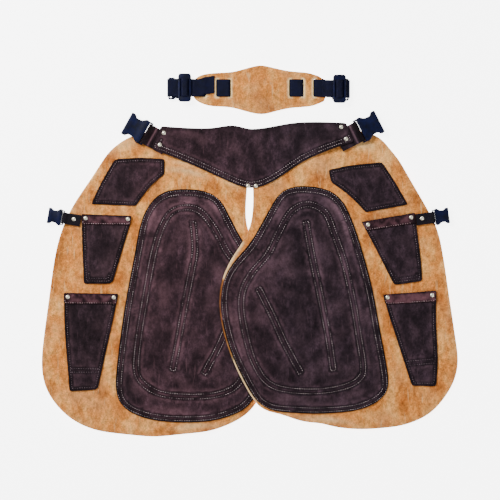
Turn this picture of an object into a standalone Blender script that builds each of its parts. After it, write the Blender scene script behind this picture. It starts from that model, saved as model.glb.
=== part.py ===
"""Farrier apron with its back belt, laid flat with the front up.

Two suede leg panels are joined by a V-shaped waist yoke, and the right one laps over the left one.
Each panel carries a padded knee patch, a hip patch, two tapered pockets with bands, and a strap with
half a buckle at its outer edge. The back belt lies apart above the waist. Its webbing is woven through
six slots of a leather pad and ends in a slider and a tucked clip on each side.

Sizes are in millimetres, and the meshes are written in metres. +Y points to the waist, +Z out of the
garment's front, and z = 0 is the surface that it lies on.
"""
import math

import bmesh
import bpy
import numpy as np
from mathutils import Vector
from mathutils.bvhtree import BVHTree
from mathutils.geometry import delaunay_2d_cdt, interpolate_bezier

METRES = 0.001
OBJECT_NAME = "farrier_apron"

# Driving sizes
LEATHER = 2.0
PAD_WALL = 3.0
WEBBING = 1.5
SEAM_GAP = 0.3
EDGE_STEP = 17.0
PANEL_LATTICE = 27.0
PATCH_LATTICE = 15.0
SMALL_LATTICE = 22.0
DRAPE_REACH = 34.0
DRAPE_SLOPE = 0.16
SAMPLE_STEP = 5.0
LEAST_RISE = 0.12

# Padding of the knee patches: height, the width of its shoulder, and the sewn strips that cross it
KNEE_PUFF = 3.6
KNEE_SHOULDER = 20.0
STRIP_WIDTH = 13.0
STRIP_DEPTH = 2.4
POCKET_PUFF = 1.6
POCKET_SHOULDER = 24.0
BELT_PUFF = 4.0
BELT_SHOULDER = 22.0

FINISHES = {
    "tan_suede": ((0.53, 0.29, 0.13), 0.95, 0.0),
    "dark_suede": ((0.045, 0.018, 0.015), 0.95, 0.0),
    "band_suede": ((0.10, 0.030, 0.022), 0.9, 0.0),
    "black_webbing": ((0.006, 0.007, 0.018), 0.7, 0.0),
    "black_plastic": ((0.005, 0.006, 0.016), 0.35, 0.0),
    "brass": ((0.75, 0.62, 0.40), 0.35, 1.0),
}

# Outlines: x, y, and how the line passes the point ("round" or "corner")
R = "round"
C = "corner"

LEFT_LEG = [
    (-270, 250, C), (-220, 263, R), (-165, 249, R), (-99, 218, R), (-40, 185, R), (-5, 165, C),
    (-7, 130, R), (-10, 95, R), (-9, 64, R), (-3, 40, R), (15, 9, R), (40, -22, R), (59, -59, R),
    (70, -106, R), (72, -154, R), (64, -205, R), (46, -260, R), (29, -306, R), (13, -337, R),
    (-10, -362, R), (-62, -388, R), (-99, -398, R), (-154, -403, R), (-209, -409, R), (-264, -404, R),
    (-321, -398, R), (-365, -385, R), (-405, -360, R), (-438, -322, R), (-454, -284, R),
    (-458, -242, R), (-452, -178, R), (-442, -106, R), (-431, -24, R), (-417, 37, R), (-391, 97, R),
    (-352, 155, R), (-312, 216, R), (-297, 230, R),
]
RIGHT_LEG = [
    (289, 250, C), (308, 223, R), (327, 201, R), (352, 156, R), (389, 94, R), (413, 46, R),
    (424, -7, R), (437, -95, R), (449, -174, R), (458, -242, R), (448, -288, R), (424, -327, R),
    (392, -360, R), (339, -383, R), (295, -389, R), (242, -392, R), (191, -388, R), (150, -377, R),
    (121, -377, R), (88, -366, R), (62, -357, R), (37, -353, R), (13, -335, R), (-15, -288, R),
    (-43, -227, R), (-61, -167, R), (-68, -110, R), (-60, -57, R), (-37, -11, R), (-9, 30, R),
    (3, 62, R), (7, 97, R), (7, 134, R), (5, 165, C), (40, 183, R), (110, 224, R), (187, 258, R),
    (242, 265, R),
]
LEFT_KNEE = [
    (-296, -299, R), (-288, -213, R), (-273, -108, R), (-254, -9, R), (-239, 66, R), (-216, 110, R),
    (-183, 132, R), (-141, 136, R), (-99, 132, R), (-68, 117, R), (-42, 70, R), (-15, 20, R),
    (18, -19, R), (42, -51, R), (58, -90, R), (63, -147, R), (53, -207, R), (33, -266, R),
    (10, -323, R), (-18, -352, R), (-77, -372, R), (-143, -377, R), (-216, -371, R), (-266, -353, R),
    (-289, -330, R),
]
RIGHT_KNEE = [
    (305, -286, R), (299, -244, R), (285, -169, R), (271, -92, R), (252, -18, R), (229, 55, R),
    (205, 108, R), (174, 134, R), (121, 143, R), (84, 139, R), (61, 123, R), (29, 66, R), (-2, 14, R),
    (-35, -23, R), (-57, -60, R), (-65, -110, R), (-58, -167, R), (-40, -227, R), (-11, -288, R),
    (17, -333, R), (46, -350, R), (99, -356, R), (165, -357, R), (233, -351, R), (279, -333, R),
    (301, -312, R),
]
# The padded part inside the double row of sewing on each knee patch
LEFT_KNEE_PADDING = [
    (-255, -260, R), (-249, -185, R), (-235, -101, R), (-218, -9, R), (-200, 51, R), (-176, 89, R),
    (-141, 101, R), (-106, 91, R), (-73, 51, R), (-44, -2, R), (-9, -42, R), (13, -86, R),
    (22, -141, R), (15, -196, R), (0, -251, R), (-26, -299, R), (-70, -320, R), (-136, -325, R),
    (-198, -318, R), (-238, -295, R),
]
RIGHT_KNEE_PADDING = [
    (254, -257, R), (244, -185, R), (231, -108, R), (212, -24, R), (190, 40, R), (169, 88, R),
    (128, 108, R), (88, 91, R), (58, 42, R), (35, -4, R), (0, -45, R), (-21, -86, R), (-24, -130, R),
    (-14, -187, R), (4, -246, R), (35, -292, R), (81, -310, R), (154, -313, R), (213, -302, R),
    (244, -284, R),
]
LEFT_KNEE_STRIPS = [
    [(-123, 59), (-135, -24), (-151, -121), (-179, -261)],
    [(-4, -101), (-53, -185), (-100, -270)],
]
RIGHT_KNEE_STRIPS = [
    [(20, -84), (56, -154), (111, -265)],
    [(123, 58), (138, -24), (153, -112), (183, -261)],
]
YOKE = [
    (-195, 274, C), (-136, 270, R), (-84, 270, R), (-42, 277, R), (-21, 274, R), (-7, 268, R),
    (29, 270, R), (77, 279, R), (110, 283, R), (165, 283, R), (211, 281, C), (228, 240, C),
    (172, 221, R), (117, 197, R), (73, 167, R), (37, 146, R), (4, 138, R), (-29, 145, R),
    (-84, 170, R), (-145, 197, R), (-217, 225, C),
]
LEFT_HIP = [
    (-297, 201, C), (-242, 205, R), (-188, 202, C), (-188, 169, C), (-216, 145, R), (-231, 127, R),
    (-251, 99, C), (-349, 103, C), (-330, 145, R),
]
RIGHT_HIP = [
    (172, 178, C), (220, 188, R), (290, 195, C), (317, 154, R), (347, 102, C), (254, 85, C),
    (227, 114, R), (202, 135, R), (179, 150, C),
]
LEFT_UPPER_POCKET = [
    (-370, 81, C), (-260, 77, C), (-264, 57, R), (-301, -66, C), (-308, -72, C), (-365, -72, C),
    (-369, 24, R),
]
LEFT_LOWER_POCKET = [
    (-409, -92, C), (-289, -94, C), (-293, -114, R), (-334, -301, C), (-340, -305, C), (-396, -308, C),
    (-407, -174, R),
]
RIGHT_UPPER_POCKET = [
    (245, 64, C), (362, 84, C), (370, 24, R), (377, -33, R), (378, -66, C), (317, -75, C), (277, 4, R),
]
RIGHT_LOWER_POCKET = [
    (292, -96, C), (409, -87, C), (409, -163, R), (413, -235, R), (409, -297, C), (356, -296, C),
    (306, -143, R),
]
# Lower edge of each pocket's band: a straight line that runs past both sides of the pocket
LEFT_UPPER_BAND_LINE = [(-385, 58), (-245, 57)]
LEFT_LOWER_BAND_LINE = [(-425, -116), (-275, -117)]
RIGHT_UPPER_BAND_LINE = [(235, 41), (385, 64)]
RIGHT_LOWER_BAND_LINE = [(280, -119), (425, -110)]

# Largest soft folds: ends of the ridge, its height and its half width
LEFT_LEG_FOLDS = [
    ((-310, 205), (-215, 140), 4.5, 22), ((-440, -215), (-385, -345), 3.5, 24),
    ((-75, -345), (-95, -400), 4.0, 20), ((-60, 150), (-30, 95), 3.0, 20),
]
RIGHT_LEG_FOLDS = [
    ((318, 200), (368, 120), 5.0, 22), ((436, -150), (422, -45), 3.5, 22),
    ((140, -395), (146, -352), 5.0, 20), ((250, -395), (262, -345), 3.5, 20),
    ((438, -255), (400, -350), 3.0, 24),
]
YOKE_FOLDS = [
    ((-32, 280), (-18, 232), 4.5, 15), ((130, 290), (118, 225), 2.5, 20), ((-130, 275), (-108, 215), 2.0, 20),
]

# Back belt pad, and the slots that its webbing is woven through
BELT_PAD = [
    (26, 409, R), (55, 402, R), (88, 395, R), (128, 392, R), (156, 383, R), (172, 357, R),
    (163, 329, R), (136, 318, R), (92, 315, R), (59, 308, R), (26, 300, R), (-9, 307, R),
    (-42, 316, R), (-92, 319, R), (-118, 328, R), (-131, 356, R), (-117, 383, R), (-84, 391, R),
    (-40, 393, R), (-7, 402, R),
]
BELT_PAD_CUSHION = [(26, 386, R), (74, 372, R), (80, 350, R), (60, 331, R), (26, 322, R), (-9, 330, R),
                    (-30, 345, R), (-30, 362, R), (-7, 378, R)]
BELT_CENTRE_Y = 358.0
BELT_SLOTS_X = (-99.0, -72.0, -44.5, 88.5, 115.5, 141.5)
SLOT_WIDTH = 4.6
SLOT_LENGTH = 40.0
BELT_WIDTH = 38.0

# Waist and leg buckles
WAIST_WEB = 38.0
WAIST_LOOP = 46.0
LEG_WEB = 25.0
LEFT_WAIST_BAR = (-226.0, 256.5)
LEFT_WAIST_TURN = 151.0
RIGHT_WAIST_BAR = (238.7, 261.8)
RIGHT_WAIST_TURN = 27.0
LEFT_LEG_BAR = (-409.4, 72.6)
LEFT_LEG_TURN = 170.0
RIGHT_LEG_BAR = (402.4, 73.7)
RIGHT_LEG_TURN = 8.0

# Rivets: x, y
RIVETS = {
    "yoke_left_top": (-189, 259), "yoke_left_low": (-198, 233),
    "yoke_right_top": (200, 272), "yoke_right_low": (211, 246),
    "crotch_left": (-4, 143), "crotch_right": (13, 143),
    "leg_strap_left": (-387, 70), "leg_strap_right": (378, 71.5),
    "left_upper_pocket_outer": (-361, 72), "left_upper_pocket_inner": (-268, 70),
    "left_lower_pocket_outer": (-400, -101), "left_lower_pocket_inner": (-299, -102),
    "right_upper_pocket_inner": (259, 58), "right_upper_pocket_outer": (354, 74),
    "right_lower_pocket_inner": (302, -102), "right_lower_pocket_outer": (400, -97),
}
RIVET_RADIUS = 4.4
RIVET_RIM = 0.7
RIVET_HEIGHT = 2.2
RIVET_SIDES = 10

# Collar of flat pad along the webbing: its half width, and how far beyond it the pad falls to the floor
PAD_RAIL = 22.0
PAD_FALL = 12.0
BAND_THICKNESS = 1.6


# Scene and collections

def clear_scene():
    for item in list(bpy.data.objects):
        bpy.data.objects.remove(item, do_unlink=True)


def new_collection(name):
    collection = bpy.data.collections.new(name)
    bpy.context.scene.collection.children.link(collection)
    return collection


clear_scene()
PARTS = new_collection(OBJECT_NAME)
CUTTERS = new_collection("cutters")
BUILT = []


def finish_with(item, finish):
    """Gives an object a material of its own with one of the finishes."""
    colour, roughness, metallic = FINISHES[finish]
    material = bpy.data.materials.new(item.name + "_" + finish)
    material.use_nodes = True
    shader = material.node_tree.nodes["Principled BSDF"]
    shader.inputs["Base Color"].default_value = (*colour, 1.0)
    shader.inputs["Roughness"].default_value = roughness
    shader.inputs["Metallic"].default_value = metallic
    item.data.materials.clear()
    item.data.materials.append(material)


def object_from_bmesh(name, mesh, finish, collection=None):
    """Turns a bmesh in millimetres into an object in metres."""
    bmesh.ops.scale(mesh, vec=(METRES, METRES, METRES), verts=mesh.verts)
    data = bpy.data.meshes.new(name)
    mesh.to_mesh(data)
    mesh.free()
    item = bpy.data.objects.new(name, data)
    (collection or PARTS).objects.link(item)
    if finish:
        finish_with(item, finish)
    return item


def remember(item):
    """Keeps the solid's surface, so that later pieces can be draped over it."""
    depsgraph = bpy.context.evaluated_depsgraph_get()
    mesh = bmesh.new()
    mesh.from_object(item, depsgraph)
    mesh.transform(item.matrix_world)
    bmesh.ops.scale(mesh, vec=(1 / METRES,) * 3, verts=mesh.verts)
    BUILT.append(BVHTree.FromBMesh(mesh))
    mesh.free()


def top_below(x, y):
    """Height of the highest surface built so far at a point, or None over the bare floor."""
    heights = []
    for tree in BUILT:
        hit = tree.ray_cast(Vector((x, y, 200.0)), Vector((0, 0, -1)))[0]
        if hit:
            heights.append(hit.z)
    return max(heights) if heights else None


# Outlines and lattices

def smooth_line(rows, step=EDGE_STEP, closed=True):
    """Points along a line that is smooth at its round rows and sharp at its corners."""
    count = len(rows)
    points = [Vector(row[:2]).to_3d() for row in rows]
    kinds = [row[2] if len(row) > 2 else R for row in rows]
    line = []
    last = count if closed else count - 1
    for index in range(last):
        here = points[index]
        there = points[(index + 1) % count]
        before = points[index - 1] if closed or index else here
        after = points[(index + 2) % count] if closed or index + 2 < count else there
        leave = (there - before) / 6 if kinds[index] == R else (there - here) / 3
        arrive = (after - here) / 6 if kinds[(index + 1) % count] == R else (there - here) / 3
        longest = (there - here).length / 3
        leave = leave.normalized() * min(leave.length, longest)
        arrive = arrive.normalized() * min(arrive.length, longest)
        pieces = max(1, round((there - here).length / step))
        stretch = interpolate_bezier(here, here + leave, there - arrive, there, pieces + 1)
        line.extend(point.to_2d() for point in stretch[:-1])
    if not closed:
        line.append(points[-1].to_2d())
    return line


def inside(points, outline):
    """Which of an array of points lie inside a closed outline."""
    points = np.asarray(points, dtype=float)
    result = np.zeros(len(points), dtype=bool)
    count = len(outline)
    for index in range(count):
        x0, y0 = outline[index]
        x1, y1 = outline[(index + 1) % count]
        if y0 == y1:
            continue
        crosses = (y0 > points[:, 1]) != (y1 > points[:, 1])
        reach = x0 + (points[:, 1] - y0) * (x1 - x0) / (y1 - y0)
        result ^= crosses & (points[:, 0] < reach)
    return result


def distance_to_line(points, line, closed=True):
    """Shortest distance from each point to a line of straight pieces."""
    points = np.asarray(points, dtype=float)
    line = np.asarray([tuple(point) for point in line], dtype=float)
    ends = np.roll(line, -1, axis=0) if closed else line[1:]
    starts = line if closed else line[:-1]
    nearest = np.full(len(points), np.inf)
    for start, end in zip(starts, ends):
        along = end - start
        share = np.clip(((points - start) @ along) / max(along @ along, 1e-9), 0, 1)
        nearest = np.minimum(nearest, np.linalg.norm(points - (start + share[:, None] * along), axis=1))
    return nearest


def soft_step(values):
    values = np.clip(values, 0, 1)
    return values * values * (3 - 2 * values)


def hex_points(outline, spacing):
    """Points of a regular triangle lattice inside an outline."""
    xs = [point[0] for point in outline]
    ys = [point[1] for point in outline]
    rows = []
    row_height = spacing * math.sqrt(3) / 2
    for row, y in enumerate(np.arange(min(ys), max(ys), row_height)):
        shift = spacing / 2 if row % 2 else 0.0
        for x in np.arange(min(xs) + shift, max(xs), spacing):
            rows.append((x, y))
    rows = np.array(rows)
    return rows[inside(rows, outline)]


class Lattice:
    """One triangle lattice that a panel and all that lies on it share."""

    def __init__(self, outlines, spacing, lines=(), fine_zones=(), holes=()):
        """outlines: name to closed line. fine_zones: (outline, spacing). holes: closed lines."""
        names = list(outlines)
        main = outlines[names[0]]
        closed = [outlines[name] for name in names] + list(holes)
        seeds = hex_points(main, spacing)
        for zone, fine in fine_zones:
            seeds = seeds[~inside(seeds, zone)]
            seeds = np.vstack([seeds, hex_points(zone, fine)])
        for line in closed:
            seeds = seeds[distance_to_line(seeds, line) > 0.42 * EDGE_STEP]
        for line in lines:
            seeds = seeds[distance_to_line(seeds, line, closed=False) > 0.35 * EDGE_STEP]
        corners = []
        edges = []
        for line in closed:
            first = len(corners)
            corners.extend(Vector(point) for point in line)
            edges.extend((first + index, first + (index + 1) % len(line)) for index in range(len(line)))
        for line in lines:
            first = len(corners)
            corners.extend(Vector(point) for point in line)
            edges.extend((first + index, first + index + 1) for index in range(len(line) - 1))
        corners.extend(Vector(seed) for seed in seeds)
        result = delaunay_2d_cdt(corners, edges, [], 0, 0.01, False)
        self.points = np.array([tuple(point) for point in result[0]])
        triangles = np.array([list(triangle) for triangle in result[2]])
        middles = self.points[triangles].mean(axis=1)
        cut = np.zeros(len(triangles), dtype=bool)
        for hole in holes:
            cut |= inside(middles, hole)
        self.members = {name: triangles[inside(middles, outlines[name]) & ~cut].tolist() for name in names}
        self.base = np.zeros(len(self.points))

    def split(self, name, new_name, line):
        """Gives the triangles of a piece that lie above a line to a further piece as well."""
        (x0, y0), (x1, y1) = line[0], line[-1]
        chosen = []
        for triangle in self.members[name]:
            x, y = self.points[triangle].mean(axis=0)
            if y > y0 + (x - x0) * (y1 - y0) / (x1 - x0):
                chosen.append(triangle)
        self.members[new_name] = chosen

    def add_folds(self, folds):
        """Lifts the lattice into soft ridges."""
        for start, end, height, width in folds:
            away = distance_to_line(self.points, [start, end], closed=False)
            rise = height * np.exp(-(away / width) ** 2)
            rise[rise < LEAST_RISE] = 0.0
            self.base += rise

    def drape(self, outline, gap=SEAM_GAP):
        """Lifts the lattice clear of everything built so far under an outline."""
        xs = [point[0] for point in outline]
        ys = [point[1] for point in outline]
        grid = [(x, y) for x in np.arange(min(xs), max(xs), SAMPLE_STEP)
                for y in np.arange(min(ys), max(ys), SAMPLE_STEP)]
        grid = np.array(grid)
        grid = grid[inside(grid, outline)]
        for x, y in grid:
            height = top_below(x, y)
            if height is None:
                continue
            away = np.hypot(self.points[:, 0] - x, self.points[:, 1] - y)
            reach = np.maximum(0, away - DRAPE_REACH)
            self.base = np.maximum(self.base, height + gap - DRAPE_SLOPE * reach)

    def wall(self, name, piece, finish, lift=0.0, thickness=LEATHER, rise=None):
        """Closed wall of one piece, moved out from the lattice by lift."""
        under = self.base + lift
        over = under + thickness
        if rise is not None:
            over = over + rise
        mesh = bmesh.new()
        tag = mesh.verts.layers.int.new("lattice_point")
        corners = {}
        for triangle in self.members[piece]:
            for index in triangle:
                if index not in corners:
                    x, y = self.points[index]
                    corners[index] = mesh.verts.new((x, y, under[index]))
                    corners[index][tag] = index
            mesh.faces.new([corners[index] for index in triangle])
        grown = bmesh.ops.extrude_face_region(mesh, geom=mesh.faces[:], use_keep_orig=True)
        for vertex in grown["geom"]:
            if isinstance(vertex, bmesh.types.BMVert):
                vertex.co.z = over[vertex[tag]]
        bmesh.ops.recalc_face_normals(mesh, faces=mesh.faces)
        merge_flat(mesh)
        item = object_from_bmesh(name, mesh, finish)
        return item


def merge_flat(mesh):
    """Joins the triangles that lie in one plane, and splits the result into few triangles."""
    bmesh.ops.dissolve_limit(mesh, angle_limit=math.radians(0.03), verts=mesh.verts, edges=mesh.edges,
                             delimit={"NORMAL"})
    bmesh.ops.triangulate(mesh, faces=mesh.faces, quad_method="BEAUTY", ngon_method="BEAUTY")


def padding_rise(points, outline, height, shoulder, strips=()):
    """Height of the padding over the wall: full inside its shoulder, less along each sewn strip."""
    depth = distance_to_line(points, outline)
    rise = height * soft_step(depth / shoulder)
    rise[~inside(points, outline)] = 0.0
    for strip in strips:
        line = smooth_line(strip, closed=False)
        away = distance_to_line(points, line, closed=False)
        valley = STRIP_DEPTH * (1 - soft_step(away / STRIP_WIDTH))
        rise = np.maximum(rise - valley, 0.0)
    return rise


# Leg panels and all that is sewn on them

def build_leg(side, rows, knee, padding, strips, hip, pockets, folds, drape):
    """One leg panel with its patches and pockets, from one shared lattice."""
    outline = smooth_line(rows)
    knee_line = smooth_line(knee)
    padding_line = smooth_line(padding, step=15.0)
    outlines = {"panel": outline, "knee": knee_line, "hip": smooth_line(hip, step=24.0)}
    for name, (pocket, band_line) in pockets.items():
        outlines[name] = smooth_line(pocket, step=30.0)
    band_lines = [band_line for pocket, band_line in pockets.values()]
    rim = padding_line + [padding_line[0]]
    strip_lines = [smooth_line(strip, step=15.0, closed=False) for strip in strips]
    lattice = Lattice(
        outlines, PANEL_LATTICE, lines=band_lines + [rim] + strip_lines,
        fine_zones=[(knee_line, PATCH_LATTICE)],
    )
    if drape:
        lattice.drape(outline)
    lattice.add_folds(folds)
    remember(lattice.wall(side + "_leg_panel", "panel", "tan_suede"))
    on_panel = LEATHER + SEAM_GAP
    rise = padding_rise(lattice.points, padding_line, KNEE_PUFF, KNEE_SHOULDER, strips)
    remember(lattice.wall(side + "_knee_patch", "knee", "dark_suede", lift=on_panel, rise=rise))
    remember(lattice.wall(side + "_hip_patch", "hip", "dark_suede", lift=on_panel))
    for name, (pocket, band_line) in pockets.items():
        puff = padding_rise(lattice.points, outlines[name], POCKET_PUFF, POCKET_SHOULDER)
        lattice.split(name, name + "_band", band_line)
        base = lattice.base.copy()
        remember(lattice.wall(side + "_" + name, name, "dark_suede", lift=on_panel, rise=puff))
        lattice.base = base + puff
        lift = on_panel + LEATHER + SEAM_GAP
        remember(lattice.wall(side + "_" + name + "_band", name + "_band", "band_suede", lift=lift,
                              thickness=BAND_THICKNESS))
        lattice.base = base


def build_legs():
    build_leg(
        "left", LEFT_LEG, LEFT_KNEE, LEFT_KNEE_PADDING, LEFT_KNEE_STRIPS, LEFT_HIP,
        {"upper_pocket": (LEFT_UPPER_POCKET, LEFT_UPPER_BAND_LINE),
         "lower_pocket": (LEFT_LOWER_POCKET, LEFT_LOWER_BAND_LINE)},
        LEFT_LEG_FOLDS, drape=False,
    )
    build_leg(
        "right", RIGHT_LEG, RIGHT_KNEE, RIGHT_KNEE_PADDING, RIGHT_KNEE_STRIPS, RIGHT_HIP,
        {"upper_pocket": (RIGHT_UPPER_POCKET, RIGHT_UPPER_BAND_LINE),
         "lower_pocket": (RIGHT_LOWER_POCKET, RIGHT_LOWER_BAND_LINE)},
        RIGHT_LEG_FOLDS, drape=True,
    )


# Ribbons: straps and webbing as a sheet with even thickness

def arc(centre, radius, start, end, pieces):
    """Points on an arc in the ribbon's own side view, angles in degrees."""
    angles = [math.radians(start + (end - start) * index / pieces) for index in range(pieces + 1)]
    return [(centre[0] + radius * math.cos(angle), centre[1] + radius * math.sin(angle)) for angle in angles]


def ribbon(name, path, width, thickness, finish, sideways=None):
    """A flat strip whose middle follows path (x, z), with its centre line moved sideways where asked."""
    mesh = bmesh.new()
    shifts = sideways or [0.0] * len(path)
    row = [mesh.verts.new((x, shift - width / 2, z)) for (x, z), shift in zip(path, shifts)]
    edges = [mesh.edges.new((row[index], row[index + 1])) for index in range(len(row) - 1)]
    grown = bmesh.ops.extrude_edge_only(mesh, edges=edges)
    far = [item for item in grown["geom"] if isinstance(item, bmesh.types.BMVert)]
    bmesh.ops.translate(mesh, vec=(0, width, 0), verts=far)
    bmesh.ops.recalc_face_normals(mesh, faces=mesh.faces)
    item = object_from_bmesh(name, mesh, finish)
    wall = item.modifiers.new("thickness", "SOLIDIFY")
    wall.thickness = thickness * METRES
    wall.offset = 0.0
    wall.use_even_offset = True
    return item


def place(item, spot, turn, height):
    """Puts an item's origin on a bar's axis, turned about the vertical."""
    item.location = (spot[0] * METRES, spot[1] * METRES, height * METRES)
    item.rotation_euler = (0, 0, math.radians(turn))
    bpy.context.view_layer.update()


def loop_strap(name, spot, turn, height, width, thickness, inner_radius, length, floor, taper, finish):
    """A strap folded round a buckle's bar: two plies that close on each other at the far end."""
    middle = inner_radius + thickness / 2
    lower = floor + thickness / 2 - height
    upper = lower + thickness + SEAM_GAP
    path = [(-length, lower), (-taper, lower)]
    path += arc((0, 0), middle, -90, 90, 10)
    path += [(-0.35 * taper, 0.8 * middle + 0.2 * upper), (-0.65 * taper, 0.2 * middle + 0.8 * upper)]
    path += [(-taper, upper), (-length, upper)]
    item = ribbon(name, path, width, thickness, finish)
    place(item, spot, turn, height)
    remember(item)
    return item


# Buckles

def box(name, low, high, collection=None, rounding=0.0, segments=2):
    """A block between two corners in millimetres, with rounded edges where asked."""
    mesh = bmesh.new()
    bmesh.ops.create_cube(mesh, size=1.0)
    size = [high[axis] - low[axis] for axis in range(3)]
    bmesh.ops.scale(mesh, vec=size, verts=mesh.verts)
    bmesh.ops.translate(mesh, vec=[(high[axis] + low[axis]) / 2 for axis in range(3)], verts=mesh.verts)
    if rounding:
        bmesh.ops.bevel(mesh, geom=mesh.edges, offset=rounding, segments=segments, profile=0.5,
                        affect="EDGES", material=-1)
    return object_from_bmesh(name, mesh, None, collection or CUTTERS)


def plate(name, outline, thickness, rounding, collection=None):
    """A flat outline with half its thickness on each side of its middle, edges rounded."""
    mesh = bmesh.new()
    corners = [mesh.verts.new((x, y, -thickness / 2)) for x, y in outline]
    face = mesh.faces.new(corners)
    grown = bmesh.ops.extrude_face_region(mesh, geom=[face], use_keep_orig=True)
    upper = [item for item in grown["geom"] if isinstance(item, bmesh.types.BMVert)]
    bmesh.ops.translate(mesh, vec=(0, 0, thickness), verts=upper)
    bmesh.ops.recalc_face_normals(mesh, faces=mesh.faces)
    rim = [edge for edge in mesh.edges if abs(edge.verts[0].co.z - edge.verts[1].co.z) < 1e-6]
    if rounding:
        bmesh.ops.bevel(mesh, geom=rim, offset=rounding, segments=1, profile=0.5, affect="EDGES", material=-1)
    return object_from_bmesh(name, mesh, None, collection or CUTTERS)


def combine(target, other, operation):
    """Boolean with a helper that stays out of the build."""
    modifier = target.modifiers.new(other.name, "BOOLEAN")
    modifier.operation = operation
    modifier.solver = "EXACT"
    modifier.object = other
    other.hide_render = True
    other.display_type = "WIRE"


def mirrored(half):
    """A closed outline from its upper half, from the small x end to the large x end."""
    return [(x, y) for x, y in half] + [(x, -y) for x, y in reversed(half)]


BUCKLE_LENGTH = 51.0
RAIL = 3.4
# Half outline of a buckle from its slot to its mouth: share of the length, half width as a share of the web
BUCKLE_HALF_OUTLINE = [(0.0, 0.50), (0.02, 0.66), (0.10, 0.73), (0.22, 0.71), (0.33, 0.60), (0.45, 0.54),
                       (0.62, 0.53), (0.72, 0.58), (0.79, 0.67), (0.90, 0.70), (1.0, 0.66)]
SOCKET_SHARE = 0.46


def female_buckle(name, spot, turn, height, web, scale, inner_radius, strap, slot_width, slit):
    """Half of a side-release buckle: bar and slot at its origin, open socket and side windows."""
    slot_end = inner_radius + strap + slit
    half_slot = slot_width / 2
    bar = 0.6 * inner_radius
    length = BUCKLE_LENGTH * scale
    outline = [(slot_end + share * (length - slot_end), width * web) for share, width in BUCKLE_HALF_OUTLINE]
    body = plate(name, mirrored(outline), 10.0 * scale, 1.6 * scale, PARTS)
    frame_half = half_slot + RAIL * scale
    frame = box(name + "_frame", (-bar, -frame_half, -bar), (slot_end + 5, frame_half, bar),
                rounding=0.3 * bar)
    slot = box(name + "_slot", (bar, -half_slot, -20), (slot_end, half_slot, 20))
    socket = box(name + "_socket", (length * 0.34, -web * SOCKET_SHARE, -3.2 * scale),
                 (length + 10, web * SOCKET_SHARE, 3.2 * scale))
    windows = box(name + "_windows", (length * 0.40, -web, -3.2 * scale), (length * 0.74, web, 3.2 * scale))
    combine(body, frame, "UNION")
    for cutter in (slot, socket, windows):
        combine(body, cutter, "DIFFERENCE")
    finish_with(body, "black_plastic")
    for helper in (frame, slot, socket, windows):
        helper.parent = body
    place(body, spot, turn, height)
    return body


WAIST_INNER = 3.0
WAIST_AXIS = LEATHER + SEAM_GAP + 0.1 + WAIST_INNER + LEATHER
LEG_INNER = 2.1
LEG_AXIS = LEATHER + SEAM_GAP + 0.1 + LEG_INNER + WEBBING


WAIST_ENDS = [("left", LEFT_WAIST_BAR, LEFT_WAIST_TURN), ("right", RIGHT_WAIST_BAR, RIGHT_WAIST_TURN)]
LEG_ENDS = [("left", LEFT_LEG_BAR, LEFT_LEG_TURN), ("right", RIGHT_LEG_BAR, RIGHT_LEG_TURN)]


def build_straps():
    for side, spot, turn in WAIST_ENDS:
        loop_strap(side + "_waist_loop", spot, turn, WAIST_AXIS, WAIST_LOOP, LEATHER, WAIST_INNER,
                   length=50.0, floor=LEATHER + SEAM_GAP, taper=18.0, finish="dark_suede")
    for side, spot, turn in LEG_ENDS:
        loop_strap(side + "_leg_strap", spot, turn, LEG_AXIS, LEG_WEB, WEBBING, LEG_INNER,
                   length=37.5, floor=LEATHER + SEAM_GAP, taper=14.0, finish="black_webbing")


def build_buckles():
    for side, spot, turn in WAIST_ENDS:
        female_buckle(side + "_waist_buckle", spot, turn, WAIST_AXIS, WAIST_WEB, 1.0, WAIST_INNER, LEATHER,
                      slot_width=WAIST_LOOP + 1.2, slit=0.8)
    for side, spot, turn in LEG_ENDS:
        female_buckle(side + "_leg_buckle", spot, turn, LEG_AXIS, LEG_WEB, 0.68, LEG_INNER, WEBBING,
                      slot_width=LEG_WEB + 3.0, slit=0.4)


def build_yoke():
    outline = smooth_line(YOKE, step=22.0)
    lattice = Lattice({"yoke": outline}, SMALL_LATTICE)
    lattice.drape(outline)
    lattice.add_folds(YOKE_FOLDS)
    remember(lattice.wall("waist_yoke", "yoke", "dark_suede"))


def build_rivets():
    for name, (x, y) in RIVETS.items():
        turns = [index * math.pi / 4 for index in range(8)]
        ring = [(x + RIVET_RADIUS * math.cos(turn), y + RIVET_RADIUS * math.sin(turn)) for turn in turns]
        heights = [top_below(*point) for point in [(x, y)] + ring]
        base = max(height for height in heights if height is not None) + SEAM_GAP
        mesh = bmesh.new()
        bmesh.ops.create_uvsphere(mesh, u_segments=RIVET_SIDES, v_segments=6, radius=RIVET_RADIUS)
        cut = bmesh.ops.bisect_plane(mesh, geom=mesh.verts[:] + mesh.edges[:] + mesh.faces[:], dist=1e-4,
                                     plane_co=(0, 0, 0), plane_no=(0, 0, -1), clear_outer=True)
        rim = [edge for edge in cut["geom_cut"] if isinstance(edge, bmesh.types.BMEdge)]
        bmesh.ops.scale(mesh, vec=(1, 1, (RIVET_HEIGHT - RIVET_RIM) / RIVET_RADIUS), verts=mesh.verts)
        grown = bmesh.ops.extrude_edge_only(mesh, edges=rim)
        lower = [item for item in grown["geom"] if isinstance(item, bmesh.types.BMVert)]
        bmesh.ops.translate(mesh, vec=(0, 0, -RIVET_RIM), verts=lower)
        lower_rim = [item for item in grown["geom"] if isinstance(item, bmesh.types.BMEdge)]
        bmesh.ops.contextual_create(mesh, geom=lower_rim)
        bmesh.ops.recalc_face_normals(mesh, faces=mesh.faces)
        item = object_from_bmesh("rivet_" + name, mesh, "brass")
        item.location = (x * METRES, y * METRES, (base + RIVET_RIM) * METRES)


# Back belt

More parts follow.
